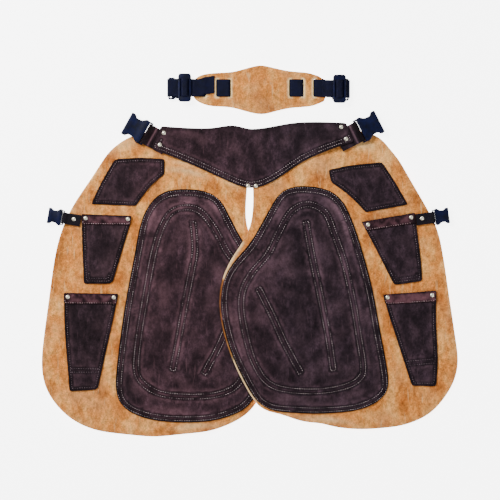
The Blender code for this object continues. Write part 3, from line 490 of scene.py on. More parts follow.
# %% Seam lines
LEFT_PADDING = [
    (-255, -260), (-249, -185), (-235, -101), (-218, -9), (-200, 51), (-176, 89), (-141, 101), (-106, 91),
    (-73, 51), (-44, -2), (-9, -42), (13, -86), (22, -141), (15, -196), (0, -251), (-26, -299),
    (-70, -320), (-136, -325), (-198, -318), (-238, -295),
]
RIGHT_PADDING = [
    (254, -257), (244, -185), (231, -108), (212, -24), (190, 40), (169, 88), (128, 108), (88, 91),
    (58, 42), (35, -4), (0, -45), (-21, -86), (-24, -130), (-14, -187), (4, -246), (35, -292),
    (81, -310), (154, -313), (213, -302), (244, -284),
]
LEFT_STRIPS = [
    [(-125, 64), (-121, 2), (-130, -53), (-141, -108), (-150, -156), (-159, -207), (-170, -262)],
    [(-11, -82), (-38, -138), (-68, -209), (-101, -270)],
]
RIGHT_STRIPS = [
    [(18, -81), (48, -140), (78, -206), (112, -268)],
    [(123, 64), (130, 24), (139, -24), (152, -86), (165, -152), (174, -200), (183, -262)],
]
STRIP_GAP = 11.0
PADDING_GAP = 10.5


def side_line(line, distance):
    """The line moved to its left by a distance."""
    ahead = np.gradient(line, axis=0)
    ahead /= np.maximum(np.linalg.norm(ahead, axis=1), 1e-9)[:, None]
    return line + distance * np.stack([-ahead[:, 1], ahead[:, 0]], axis=1)


def strip_rows(rows):
    """The two rows of a sewn strip with their closed ends, as one loop."""
    middle = smooth_line(rows)
    left = side_line(middle, STRIP_GAP / 2)
    right = side_line(middle, -STRIP_GAP / 2)
    return np.vstack([left, right[::-1], left[:1]])


def shrunk(line, distance):
    """A closed line moved inwards, whichever way round it runs."""
    x, y = line[:, 0], line[:, 1]
    turning = np.sum(x[:-1] * y[1:] - x[1:] * y[:-1])
    return side_line(line, distance if turning > 0 else -distance)


KNEE_SEAMS = {}
for side, padding, strips in (("left", LEFT_PADDING, LEFT_STRIPS), ("right", RIGHT_PADDING, RIGHT_STRIPS)):
    outer = smooth_line(padding, closed=True)
    KNEE_SEAMS[side] = [outer, shrunk(outer, PADDING_GAP)] + [strip_rows(rows) for rows in strips]
print("knee seams:", {side: len(rows) for side, rows in KNEE_SEAMS.items()})

# %% [markdown]
# ## From a coarse wall to fine leather
# A subdivision modifier would round the whole form and cut it evenly, where only the seams need it.
# So a copy of each solid's upper face is cut by hand: long edges are halved and diagonals turned
# until every triangle is small. The outline is rounded, the points are spread evenly, and the height is
# read back from the solid and smoothed, so that the padding rises without facets. Then the face is
# thickened into a closed wall with a softly rounded cut edge.

# %% Refine a surface
TOP_NORMAL = 0.5


def in_millimetres(data):
    mesh = bmesh.new()
    mesh.from_mesh(data)
    bmesh.ops.scale(mesh, vec=(1 / MM,) * 3, verts=mesh.verts)
    return mesh


def halve(mesh, edges):
    bmesh.ops.subdivide_edges(mesh, edges=edges, cuts=1)
    bmesh.ops.triangulate(mesh, faces=[face for face in mesh.faces if len(face.verts) > 3])


def round_edges(mesh, edges, width, segments=2):
    bmesh.ops.bevel(mesh, geom=edges, offset=width, segments=segments, profile=0.5, affect="EDGES",
                    material=-1)


def faces_of(node, keep):
    """The merged faces of a solid, in millimetres, that keep() accepts."""
    mesh = in_millimetres(NODES[node].data)
    bmesh.ops.remove_doubles(mesh, verts=mesh.verts, dist=1e-3)
    mesh.normal_update()
    others = [face for face in mesh.faces if not keep(face)]
    bmesh.ops.delete(mesh, geom=others, context="FACES")
    return mesh


def refine(mesh, edge, rows=(), row_edge=4.2, row_reach=4.0):
    """Halves long edges and turns diagonals until none is longer than edge, or row_edge near a row."""
    limits = [(edge, False)] * 6 + ([(row_edge, True)] * 2 if rows else [])
    for limit, by_rows in limits:
        mesh.edges.ensure_lookup_table()
        ends = np.array([[*e.verts[0].co.xy, *e.verts[1].co.xy] for e in mesh.edges])
        lengths = np.hypot(ends[:, 0] - ends[:, 2], ends[:, 1] - ends[:, 3])
        long = lengths > limit
        if by_rows:
            long &= row_distance((ends[:, :2] + ends[:, 2:]) / 2, rows) < row_reach
        chosen = [mesh.edges[index] for index in np.nonzero(long)[0]]
        if chosen:
            halve(mesh, chosen)
            bmesh.ops.beautify_fill(mesh, faces=mesh.faces, edges=mesh.edges, method="ANGLE")


def from_leftmost(loop):
    """A closed loop of vertices, anticlockwise from the leftmost one, so that it is alike in every run."""
    x, y = np.array([vertex.co.xy[:] for vertex in loop]).T
    if np.sum(x * np.roll(y, -1) - np.roll(x, -1) * y) < 0:
        loop = loop[::-1]
    first = min(range(len(loop)), key=lambda index: tuple(loop[index].co.xy))
    return loop[first:] + loop[:first]


def outline_loops(mesh):
    """The open boundary as closed loops of vertices, the one with most vertices first."""
    rim = {edge for edge in mesh.edges if edge.is_boundary}
    loops = []
    while rim:
        edge = rim.pop()
        loop = [edge.verts[0], edge.verts[1]]
        while True:
            ahead = [item for item in loop[-1].link_edges if item in rim]
            if not ahead:
                break
            rim.discard(ahead[0])
            loop.append(ahead[0].other_vert(loop[-1]))
        loops.append(from_leftmost(loop[:-1] if loop[0] == loop[-1] else loop))
    return sorted(loops, key=lambda loop: (len(loop), *loop[0].co.xy), reverse=True)


def round_outline(loops, corner, turns):
    """Smooths the outline in the floor plan, and leaves what turns more than corner degrees sharp."""
    for loop in loops:
        places = np.array([vertex.co.xy[:] for vertex in loop])
        before = places - np.roll(places, 1, axis=0)
        after = np.roll(places, -1, axis=0) - places
        bend = np.degrees(np.arccos(np.clip(
            (before * after).sum(1) / (np.linalg.norm(before, axis=1) * np.linalg.norm(after, axis=1) + 1e-9),
            -1, 1)))
        free = bend < corner
        for turn in range(turns):
            middle = (np.roll(places, 1, axis=0) + np.roll(places, -1, axis=0)) / 2
            places[free] += 0.5 * (middle - places)[free]
        middle = (np.roll(places, 1, axis=0) + np.roll(places, -1, axis=0)) / 2
        places += 0.4 * (middle - places)
        for vertex, place in zip(loop, places):
            vertex.co.x, vertex.co.y = place


def surface_heights(tree, points, guess):
    """Height of a surface at each point, from the nearest spot where it doesn't reach that far."""
    return np.array([tree.find_nearest(Vector((x, y, z)))[0].z for (x, y), z in zip(points, guess)])


# %% Thicken it into a wall
EDGE_ROUND = 0.55
LEAST_WALL = 0.9
USUAL_WALL = 2.0
SPREAD_TURNS = 4
SHELLS = {}


def places_of(mesh):
    return np.array([vertex.co[:] for vertex in mesh.verts])


def fine_face(node, edge, rows, corner, turns, smooth_turns):
    """A solid's upper face in small even triangles, with its outline and its lower face's heights."""
    mesh = faces_of(node, lambda face: face.normal.z > TOP_NORMAL)
    upper_tree = BVHTree.FromBMesh(mesh)
    lower = faces_of(node, lambda face: face.normal.z < -TOP_NORMAL)
    lower_tree = BVHTree.FromBMesh(lower)
    lower.free()
    refine(mesh, edge, rows)
    loops = outline_loops(mesh)
    round_outline(loops, corner, turns)
    inner = [vertex for vertex in mesh.verts if not vertex.is_boundary]
    for turn in range(SPREAD_TURNS):
        bmesh.ops.smooth_vert(mesh, verts=inner, factor=0.5, use_axis_x=True, use_axis_y=True)
    bmesh.ops.beautify_fill(mesh, faces=mesh.faces, edges=mesh.edges, method="ANGLE")
    places = places_of(mesh)
    heights = surface_heights(upper_tree, places[:, :2], places[:, 2])
    for vertex, height in zip(mesh.verts, heights):
        vertex.co.z = height
    for turn in range(smooth_turns):
        bmesh.ops.smooth_vert(mesh, verts=mesh.verts, factor=0.5, use_axis_z=True)
    return mesh, loops, surface_heights(lower_tree, places[:, :2], heights - USUAL_WALL)


def wear_and_shading_tone(points, loops, wear_and_shading, rim_tone, rim_width, holes_tone):
    """Tone at each point, from -1 for dark, mostly painted shade along edges and grooves, to 1 for pale, worn
    nap and painted highlight: the piece's own, and the cut edges'.
    """
    rims = [np.array([vertex.co.xy[:] for vertex in loop + loop[:1]]) for loop in loops]
    tone = rim_tone(points) if callable(rim_tone) else rim_tone
    wear_and_light_tone = wear_and_shading(points) + tone * np.exp(-(row_distance(points, rims[:1]) / rim_width) ** 2)
    if holes_tone:
        wear_and_light_tone += holes_tone * np.exp(-(row_distance(points, rims[1:]) / rim_width) ** 2)
    return np.clip(wear_and_light_tone, -1, 1)


def thicken(mesh, base, top, wear_and_light_tone):
    """Makes a face a closed wall between two heights, with a rounded cut edge, and its wear and painted light
    and shade on it.
    """
    number = mesh.verts.layers.int.new("number")
    wear_and_shading_layer = mesh.verts.layers.float.new("wear_and_shading")
    for index, vertex in enumerate(mesh.verts):
        vertex[number] = index
        vertex[wear_and_shading_layer] = wear_and_light_tone[index]
        vertex.co.z = base[index]
    grown = bmesh.ops.extrude_face_region(mesh, geom=mesh.faces[:], use_keep_orig=True)
    raised = {item for item in grown["geom"] if isinstance(item, bmesh.types.BMVert)}
    for vertex in raised:
        vertex.co.z = top[vertex[number]]
    bmesh.ops.recalc_face_normals(mesh, faces=mesh.faces)
    walls = {face for face in mesh.faces
             if 0 < sum(vertex in raised for vertex in face.verts) < len(face.verts)}
    for face in walls:
        face.material_index = 1
    rim = [edge for edge in mesh.edges if all(vertex in raised for vertex in edge.verts)
           and any(face in walls for face in edge.link_faces)]
    round_edges(mesh, rim, EDGE_ROUND)


# %% One cloth piece


def cloth(node, finish, slot_name, edge, wear_and_shading, rows=(), lift=None, relief=None, corner=40.0, turns=7,
          smooth_turns=14, rim_tone=0.0, rim_width=4.0, holes_tone=0.0):
    """Fine closed wall on a solid's form. lift moves both faces, relief only the upper one.

    rim_tone from -1 to 1 is the tone along the cut edge: dark as painted shade, or pale as rubbed nap and
    painted highlight. It may be a function of place. holes_tone is the same round the holes.
    """
    mesh, loops, base = fine_face(node, edge, rows, corner, turns, smooth_turns)
    places = places_of(mesh)
    points = places[:, :2]
    rise = lift(points) if lift else np.zeros(len(points))
    base = base + rise
    top = np.maximum(places[:, 2] + rise + (relief(points) if relief else 0.0), base + LEAST_WALL)
    thicken(mesh, base, top, wear_and_shading_tone(points, loops, wear_and_shading, rim_tone, rim_width, holes_tone))
    made = object_from(node + "_leather", mesh)
    made.data.materials.append(finish)
    made.data.materials.append(CUT_EDGE if finish == TAN else finish)
    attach(made, "apron")
    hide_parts(node)
    SHELLS[node] = made
    print(made.name, len(made.data.polygons), "faces")


# %% [markdown]
# ## The leg panels
# Each panel is one piece of tan suede. Its height comes from the solid, which is already draped: the
# right panel lies over the inner edge of the left one.

# %% Leg panels
# Streaks on the tan leather, pale from worn nap and painted highlight along edges and beside the dark pieces,
# darker where the strength is negative: x0, y0, x1, y1, bend, strength, half width
TAN_STREAKS = [
    (-348, 30, -322, 12, 0.0, 0.5, 3), (-338, 22, -316, 8, 0.0, 0.4, 2),
    (-190, 180, -90, 160, 0.06, 0.45, 6), (-172, 196, -96, 184, 0.04, 0.35, 5),
    (-60, 170, -20, 140, 0.05, 0.5, 10), (-300, 226, -240, 238, 0.05, 0.2, 9),
    (-440, -110, -414, 50, 0.02, -0.38, 20), (-392, -290, -300, -352, -0.1, 0.15, 22),
    (118, 204, 196, 168, 0.0, 0.16, 20), (20, 176, 60, 150, 0.05, 0.5, 10),
    (210, 236, 280, 226, 0.05, 0.45, 9), (-450, -150, -440, -60, 0.02, 0.35, 6),
    (440, -140, 448, -60, 0.02, 0.3, 6), (-180, -392, -60, -384, 0.03, 0.35, 6),
    (90, -366, 240, -382, 0.03, 0.4, 6), (250, 96, 300, 90, 0.02, 0.4, 5),
    (255, -60, 290, -180, 0.02, 0.25, 6),
]


def tan_streaks(points):
    return stroke(points, TAN_STREAKS) + 0.16 * np.maximum(0, slow_noise(points, 38, 7.7))


def lapped_edge(points):
    """Tone of the right panel's cut edge where it laps over the left one: pale as a painted highlight, and
    dark in the middle.
    """
    lapped = (points[:, 0] < 16) & (points[:, 1] < 20)
    between = (points[:, 1] < -62) & (points[:, 1] > -232)
    return np.where(lapped, np.where(between, -1.6, 1.4), 0.1)


for side, rim_tone in (("left", 0.1), ("right", lapped_edge)):
    cloth(side + "_leg_panel", TAN, "tan_suede", edge=10.0, lift=cloth_lift, wear_and_shading=tan_streaks, rim_tone=rim_tone)

# %% [markdown]
# ## Knee patches
# The padding is quilted: it swells between the rows of sewing and is pinched along them. The solid has
# the swelling, so the relief adds only the groove of each row, the small puckers beside it, and creases.

# %% Knee patches
GROOVE = 0.9
GROOVE_WIDTH = 2.2
# Pale streaks on the dark leather, from brushed and worn nap and painted highlight along the padded ridges:
# x0, y0, x1, y1, bend, strength, half width
DARK_STREAKS = [
    (160, 120, 219, 28, 0.10, 0.95, 8), (206, 60, 226, -10, 0.02, 0.6, 6),
    (126, 62, 156, -64, 0.03, 0.55, 7), (150, -70, 176, -240, 0.02, 0.55, 7),
    (196, -10, 222, -80, 0.03, 0.7, 7), (226, -96, 244, -220, 0.02, 0.45, 7),
    (68, -46, 100, -56, 0.05, 0.45, 9), (30, -60, 90, -10, 0.10, 0.35, 12),
    (-40, -130, -20, -230, 0.05, 0.35, 8), (30, -320, 150, -334, 0.02, 0.4, 7),
    (190, -330, 262, -306, 0.05, 0.4, 7), (60, 60, 84, 118, 0.05, 0.4, 9),
    (-126, 62, -136, -60, 0.02, 0.5, 7), (-136, -80, -166, -250, 0.02, 0.5, 7),
    (-190, 90, -120, 118, -0.08, 0.6, 9), (-226, 40, -206, 92, 0.03, 0.5, 8),
    (-250, -60, -236, 20, 0.02, 0.4, 8), (-98, 112, -56, 70, 0.05, 0.5, 8), (-40, 30, 0, -26, 0.03, 0.4, 8),
    (-272, -150, -262, -80, 0.02, 0.4, 8), (-280, -270, -272, -190, 0.02, 0.35, 8),
    (-80, -20, -60, -90, 0.04, 0.4, 12), (-200, -60, -186, -130, 0.03, 0.35, 12),
    (-240, -344, -120, -360, 0.03, 0.4, 7),
]


def dark_streaks(points):
    return 0.8 * stroke(points, DARK_STREAKS) + 0.30 * np.maximum(0, slow_noise(points, 30, 11.3))


def groove_tone(points, rows, width=3.0):
    """Painted shade darkens the groove of a seam, and the ridge beside it is paler, from worn nap and painted
    highlight.
    """
    away = row_distance(points, rows)
    uneven = 0.75 + 0.9 * slow_noise(points, 16, 4.4)
    return 0.34 * uneven * np.exp(-((away - 2 * width) / width) ** 2) - 0.55 * np.exp(-(away / width) ** 2)


def groove(points, rows, depth=GROOVE, width=GROOVE_WIDTH):
    """Pinched leather along rows of sewing, deeper in places, and puckered beside them."""
    away = row_distance(points, rows)
    pull = 0.75 + 0.35 * slow_noise(points, 14, 5.5)
    pucker = 0.22 * slow_noise(points, 5.5, 8.8) * np.exp(-(away / 9.0) ** 2)
    return pucker - depth * pull * np.exp(-(away / width) ** 2)


def edge_rows(node, distances):
    """Rows at given distances inside a solid's outline."""
    mesh = faces_of(node, lambda face: face.normal.z > TOP_NORMAL)
    loop = outline_loops(mesh)[0]
    corners = [tuple(vertex.co.xy) for vertex in loop]
    mesh.free()
    return [inset_line(corners, distance) for distance in distances]


def inset_line(corners, distance):
    """A closed outline moved inwards by a distance, with mitred corners, at even steps."""
    corners = np.array(corners)
    x, y = corners[:, 0], corners[:, 1]
    turning = np.sum(x * np.roll(y, -1) - np.roll(x, -1) * y)
    if turning < 0:
        corners = corners[::-1]
    before = corners - np.roll(corners, 1, axis=0)
    after = np.roll(corners, -1, axis=0) - corners
    before /= np.linalg.norm(before, axis=1)[:, None]
    after /= np.linalg.norm(after, axis=1)[:, None]
    left = np.stack([-(before + after)[:, 1], (before + after)[:, 0]], axis=1)
    left /= np.linalg.norm(left, axis=1)[:, None]
    stretch = 1 / np.maximum(0.45, (left * np.stack([-before[:, 1], before[:, 0]], axis=1)).sum(1))
    moved = corners + left * (distance * stretch)[:, None]
    moved = np.vstack([moved, moved[:1]])
    return along_line(moved, 4.0)


def knee_rim(points):
    """Tone of a knee patch's cut edge: dark as painted shade, but paler where the right one bends over the
    left leg.
    """
    bent = (points[:, 0] < -34) & (points[:, 1] < -56) & (points[:, 1] > -152)
    return np.where(bent, 0.35, -1.0)


SEAMS = {}


def dark_patch(node, rows, edge, depth=GROOVE, groove_shading=1.0, creases=(), lift=cloth_lift, **shape):
    """Dark suede, pinched to a depth along its rows of sewing and darkened in their grooves as painted shade,
    with creases of its own.
    """
    SEAMS[node] = rows
    cloth(node, DARK, "dark_suede", edge=edge, rows=rows, lift=lift,
          relief=lambda points: groove(points, rows, depth) + stroke(points, creases),
          wear_and_shading=lambda points: dark_streaks(points) + groove_shading * groove_tone(points, rows), **shape)


KNEE_ROWS = (4.0, 12.5)
# Each knee patch is darkened along its cut edge as painted shade.
for side, rim_tone in (("left", -1.0), ("right", knee_rim)):
    node = side + "_knee_patch"
    dark_patch(node, edge_rows(node, KNEE_ROWS) + KNEE_SEAMS[side], edge=9.0, creases=KNEE_CREASES,
               rim_tone=rim_tone)

# %% [markdown]
# ## Hip patches, pockets and their bands
# These are single layers, sewn down close to their edge. A pocket has two rows near its lower edge and
# a band of redder suede folded over its mouth.

# %% Hip patches and pockets
POCKETS = [side + height for side in ("left", "right") for height in ("_upper_pocket", "_lower_pocket")]
PATCH_ROWS = (6.0, 12.0)
SHALLOW_GROOVE = 0.6
SLIGHT_GROOVE_SHADING = 0.6


def lower_part(row, share):
    """The stretches of a closed row that lie in the lowest share of its height."""
    level = row[:, 1].min() + share * np.ptp(row[:, 1])
    low = row[:, 1] < level
    ends = np.nonzero(low[1:] != low[:-1])[0] + 1
    return [part for part in np.split(row, ends) if len(part) > 3 and part[len(part) // 2, 1] < level]


# Rows across the lower pockets, where the folded end is sewn down: first and last place of each
CROSS_ROWS = {
    "left_lower_pocket": [((-394, -258), (-330, -259)), ((-393, -266), (-332, -266))],
    "right_lower_pocket": [((346, -242), (404, -237)), ((349, -251), (404, -246))],
}
# These patches and pockets are darkened along their cut edges as painted shade.
for node in ["left_hip_patch", "right_hip_patch"] + POCKETS:
    outer, inner = edge_rows(node, PATCH_ROWS)
    low_rows = lower_part(inner, 0.1) if node.endswith("upper_pocket") else []
    dark_patch(node, [outer] + low_rows + [smooth_line(row) for row in CROSS_ROWS.get(node, [])], edge=8.0,
               depth=SHALLOW_GROOVE, groove_shading=SLIGHT_GROOVE_SHADING, corner=30.0, turns=4, smooth_turns=8, rim_tone=-1.0)

# %% Pocket bands
HEM_ROW = 2.6
BAND_WEAR = {"left_upper_pocket": 0.24, "left_lower_pocket": 0.18, "right_upper_pocket": 0.16,
             "right_lower_pocket": 0.42}
# Each band is darkened along its cut edge as painted shade.
for node, paleness in BAND_WEAR.items():
    band = node + "_band"
    SEAMS[band] = lower_part(edge_rows(band, (HEM_ROW,))[0], 0.45)
    cloth(band, BAND, "band_suede", edge=5.0, lift=cloth_lift,
          relief=lambda points: 0.25 * slow_noise(points, 9, 2.2),
          wear_and_shading=lambda points, paleness=paleness: paleness + 0.5 * slow_noise(points, 12, 9.1),
          corner=30.0, turns=2, smooth_turns=4, rim_tone=-0.6, rim_width=3.0)

# %% [markdown]
# ## Waist yoke
# One piece of dark suede joins both legs. Its creases could come from a cloth simulation, but it lies flat,
# so they are listed and raise its upper face, over the field that the legs share.

# %% Yoke
YOKE_ROWS = (5.5, 12.5)
YOKE_TOP = ((-217, 246), (228, 256))
YOKE_RISE = 0.35


def lower_edge(row, top_line):
    """The stretch of a closed row that lies below a line, as one open row."""
    (x0, y0), (x1, y1) = top_line
    low = row[:, 1] < y0 + (row[:, 0] - x0) * (y1 - y0) / (x1 - x0)
    first = int(np.nonzero(low & ~np.roll(low, 1))[0][0])
    turned = np.roll(row, -first, axis=0)
    return turned[np.roll(low, -first)]


# The yoke is darkened along its cut edge as painted shade.
dark_patch("waist_yoke", [lower_edge(row, YOKE_TOP) for row in edge_rows("waist_yoke", YOKE_ROWS)],
           edge=8.0, depth=SHALLOW_GROOVE, groove_shading=SLIGHT_GROOVE_SHADING, creases=YOKE_CREASES,
           lift=lambda points: cloth_lift(points) + YOKE_RISE, corner=35.0, turns=6, rim_tone=-0.7)

# %% [markdown]
# ## Straps and belt
# The webbing and the suede loops are flat bands that bend round bars and through slots, so a simulation
# would only blur them. A copy of each solid is cut finer and smoothed a little.

# %% Straps
# Painted shade and highlight along a waist loop: distance from the bar, half width, tone from painted shade
# to painted highlight
LOOP_SHADING = [(0.0, 8.0, -1.5), (12.5, 2.8, 0.75), (21.5, 5.0, -1.1)]
SLIDERS = {"left": (-143.3, 358.2), "right": (196.3, 355.6)}
SPREAD = 0.055
SPREAD_REACH = 15.0
STRAP_ROUND = 0.3
SHARP = 1.2


def strap(node, finish, slot_name, edge, bar=None, spread=()):
    """A finer copy of a strap's solid. bar is the place and turn of the bar round which it bends, from which
    its painted shade and highlight are laid out.

    spread lists places x, y where two plies lie a little apart, so that the strap looks wider there.
    """
    mesh = faces_of(node, lambda face: True)
    for turn in range(6):
        chosen = [item for item in mesh.edges if item.calc_length() > 1.4 * edge]
        if not chosen:
            break
        halve(mesh, chosen)
    rim = [item for item in mesh.edges if item.is_manifold and item.calc_face_angle() > SHARP]
    round_edges(mesh, rim, STRAP_ROUND)
    if bar:
        # Painted shade where the loop bends round the bar and where it goes under the yoke, and a painted
        # highlight between them.
        layer = mesh.verts.layers.float.new("wear_and_shading")
        (x, y), turn = bar
        ahead = Vector((math.cos(math.radians(turn)), math.sin(math.radians(turn))))
        for vertex in mesh.verts:
            along = abs((vertex.co.xy - Vector((x, y))).dot(ahead))
            vertex[layer] = sum(tone * math.exp(-((along - place) / width) ** 2)
                                for place, width, tone in LOOP_SHADING)
    for x, y in spread:
        for vertex in mesh.verts:
            widening = SPREAD * math.exp(-((vertex.co.x - x) / SPREAD_REACH) ** 2)
            vertex.co.y = y + (vertex.co.y - y) * (1 + widening)
    made = object_from(node + "_woven" if "webbing" in slot_name else node + "_leather", mesh)
    made.data.materials.append(finish)
    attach(made, "apron")
    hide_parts(node)
    SHELLS[node] = made
    print(made.name, len(made.data.polygons), "faces")


for side in ("left", "right"):
    strap(side + "_waist_loop", DARK, "dark_suede", 4.0, BARS[side + "_waist"])
    strap(side + "_leg_strap", LEG_WEBBING[side], "black_webbing", 4.0)
strap("back_webbing", BELT_WEBBING, "black_webbing", 6.0, spread=SLIDERS.values())

# %% [markdown]
# ## Back pad
# The pad of the belt is thicker tan suede with a padded middle, a border seam, and six slots that the
# webbing goes down and up through.

# %% Back pad
SEAMS["back_pad"] = edge_rows("back_pad", (8.0,))
cloth("back_pad", TAN, "tan_suede", edge=7.0, rows=SEAMS["back_pad"],
      relief=lambda points: groove(points, SEAMS["back_pad"], 0.9, 2.6),
      wear_and_shading=tan_streaks, corner=50.0, turns=6, smooth_turns=7, holes_tone=1.3, rim_width=3.0)

# %% [markdown]
# ## Sewing
# Every stitch is a short thick thread with rounded ends, half sunk in the leather. One small ball is
# stretched into a stitch, and its points are repeated along all rows by array, because thousands of
# separate objects would be slow. A stitch that another layer covers isn't made.

# %% Stitches
PITCH = 5.2
STITCH_LENGTH = 2.7
STITCH_WIDTH = 1.0
STITCH_HEIGHT = 0.7
STITCH_RISE = 0.12
STEEPEST = 0.6
ABOVE_ALL = 60.0


def stitch_shape():
    """Points and faces of one stitch, lying along X."""
    ball = bmesh.new()
    bmesh.ops.create_uvsphere(ball, u_segments=6, v_segments=4, radius=0.5,
                              matrix=Matrix.Rotation(math.pi / 2, 4, "Y"))
    bmesh.ops.scale(ball, vec=(STITCH_LENGTH, STITCH_WIDTH, STITCH_HEIGHT), verts=ball.verts)
    corners = places_of(ball)
    faces = [[vertex.index for vertex in face.verts] for face in ball.faces]
    ball.free()
    return corners, faces


def all_trees():
    """A ray-cast tree, in millimetres, for each cloth that can lie on top of another."""
    trees = {}
    for node, made in SHELLS.items():
        mesh = in_millimetres(made.data)
        trees[node] = BVHTree.FromBMesh(mesh)
        mesh.free()
    return trees


TREES = all_trees()


def top_at(x, y):
    """Height of the top cloth at a place, and the solid that it stands for."""
    best, owner = None, None
    for node, tree in TREES.items():
        hit = tree.ray_cast(Vector((x, y, ABOVE_ALL)), Vector((0, 0, -1)))[0]
        if hit and (best is None or hit.z > best):
            best, owner = hit.z, node
    return best, owner


def sew(node, finish):
    """Lays stitches along a cloth's rows."""
    name = node + "_sewing"
    corners, faces = stitch_shape()
    blocks = []
    for row in SEAMS[node]:
        spots = along_line(row, PITCH, offset=PITCH / 2)
        ahead = np.gradient(spots, axis=0)
        for (x, y), (dx, dy) in zip(spots, ahead):
            height, owner = top_at(x, y)
            if owner != node:
                continue
            size = math.hypot(dx, dy)
            dx, dy = dx / size, dy / size
            front = top_at(x + dx * STITCH_LENGTH / 2, y + dy * STITCH_LENGTH / 2)[0]
            back = top_at(x - dx * STITCH_LENGTH / 2, y - dy * STITCH_LENGTH / 2)[0]
            slope = 0.0 if front is None or back is None else (front - back) / STITCH_LENGTH
            slope = max(-STEEPEST, min(STEEPEST, slope))
            turned = np.stack([corners[:, 0] * dx - corners[:, 1] * dy,
                               corners[:, 0] * dy + corners[:, 1] * dx,
                               corners[:, 2] + corners[:, 0] * slope], axis=1)
            blocks.append(turned + (x, y, height + STITCH_RISE))
    data = bpy.data.meshes.new(name)
    data.from_pydata((np.vstack(blocks) * MM).tolist(), [],
                     [[corner + index * len(corners) for corner in face]
                      for index in range(len(blocks)) for face in faces])
    data.shade_smooth()
    made = link_object(name, data)
    made.data.materials.append(finish)
    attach(made, "apron")
    print(name, len(blocks), "stitches")


for node in ("left_knee_patch", "right_knee_patch", "left_hip_patch", "right_hip_patch", "waist_yoke"):
    sew(node, PATCH_THREAD if "hip" in node else THREAD)
for node in POCKETS:
    sew(node, PATCH_THREAD)
    sew(node + "_band", BAND_THREAD)
sew("back_pad", TAN_THREAD)

# %% [markdown]
# ## Rivets
# A rivet cap is a shallow dome on a thin rim. A half profile spun round once gives both, and the cap is
# set on whatever cloth lies under it.

# %% Rivets
RIVET_RADIUS = 4.4
CAP_PROFILE = [(0.0, 2.2), (1.6, 2.08), (2.8, 1.72), (3.5, 1.2), (3.75, 0.85), (4.3, 0.7), (4.4, 0.45),
               (4.2, 0.0)]
CAP_SINK = 0.1
QUARTERS = (0, 1.57, 3.14, 4.71)
SPIN_STEPS = 28


def rivet_cap(node):
    low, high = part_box(node)
    x, y = (low.x + high.x) / 2 / MM, (low.y + high.y) / 2 / MM
    heights = [top_at(x + math.cos(turn) * RIVET_RADIUS, y + math.sin(turn) * RIVET_RADIUS)[0]
               for turn in QUARTERS] + [top_at(x, y)[0]]
    base = max(height for height in heights if height is not None)
    mesh = bmesh.new()
    points = [mesh.verts.new((across, 0, up)) for across, up in CAP_PROFILE]
    edges = [mesh.edges.new(pair) for pair in zip(points, points[1:])]
    bmesh.ops.spin(mesh, geom=points + edges, cent=(0, 0, 0), axis=(0, 0, 1), angle=2 * math.pi,
                   steps=SPIN_STEPS, use_merge=True)
    bmesh.ops.remove_doubles(mesh, verts=mesh.verts, dist=1e-4)
    bmesh.ops.contextual_create(mesh, geom=[edge for edge in mesh.edges if edge.is_boundary])
    bmesh.ops.recalc_face_normals(mesh, faces=mesh.faces)
    bmesh.ops.translate(mesh, vec=(x, y, base - CAP_SINK), verts=mesh.verts)
    made = object_from(node + "_cap", mesh)
    made.data.materials.append(RIVET_METAL)
    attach(made, "apron")
    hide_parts(node)


RIVETS = [name for name in NODES if name.startswith("rivet_")]
for node in RIVETS:
    rivet_cap(node)
print("rivet caps:", len(RIVETS))

# %% [markdown]
# ## Hard plastic
# A side-release buckle is moulded: its flanks are hollowed for finger and thumb, and its mouth flares.
# The solids have straight facets, so each buckle and slider is built again from a smooth half outline:
# a plate is extruded, its rims are bevelled, and the slot, the mouth and the side windows are cut out
# with hidden blocks. The clips are tucked under the belt, so theirs stay and get the material.

# %% Plates and cutting
EDGE_ANGLE = 28


def closed_plate(name, half, thickness, rounding):
    """A plate with a mirrored outline, half its thickness on each side of z = 0, and rounded rims."""
    mesh = bmesh.new()
    upper = [tuple(point) for point in smooth_line(half, step=1.6)]
    outline = upper + [(x, -y) for x, y in reversed(upper)]
    corners = [mesh.verts.new((x, y, -thickness / 2)) for x, y in outline]
    face = mesh.faces.new(corners)
    grown = bmesh.ops.extrude_face_region(mesh, geom=[face], use_keep_orig=True)
    raised = [item for item in grown["geom"] if isinstance(item, bmesh.types.BMVert)]
    bmesh.ops.translate(mesh, vec=(0, 0, thickness), verts=raised)
    bmesh.ops.recalc_face_normals(mesh, faces=mesh.faces)
    rim = [edge for edge in mesh.edges if abs(edge.verts[0].co.z - edge.verts[1].co.z) < 1e-6]
    round_edges(mesh, rim, rounding, 3)
    return object_from(name, mesh)


def block(low, high, rounding=0.0):
    """A box between two corners, in millimetres."""
    mesh = bmesh.new()
    bmesh.ops.create_cube(mesh, size=1.0)
    bmesh.ops.scale(mesh, vec=[b - a for a, b in zip(low, high)], verts=mesh.verts)
    bmesh.ops.translate(mesh, vec=[(a + b) / 2 for a, b in zip(low, high)], verts=mesh.verts)
    if rounding:
        round_edges(mesh, mesh.edges, rounding, 3)
    return object_from("block", mesh)


def combine(body, blocks):
    """Adds or cuts blocks, keeps the result as the body's own mesh, and removes the blocks."""
    for helper, operation in blocks:
        modifier = body.modifiers.new(operation, "BOOLEAN")
        modifier.operation = operation
        modifier.solver = "EXACT"
        modifier.object = helper
    shaped = bpy.data.meshes.new_from_object(body.evaluated_get(bpy.context.evaluated_depsgraph_get()))
    body.modifiers.clear()
    body.data = shaped
    for helper, operation in blocks:
        bpy.data.objects.remove(helper)


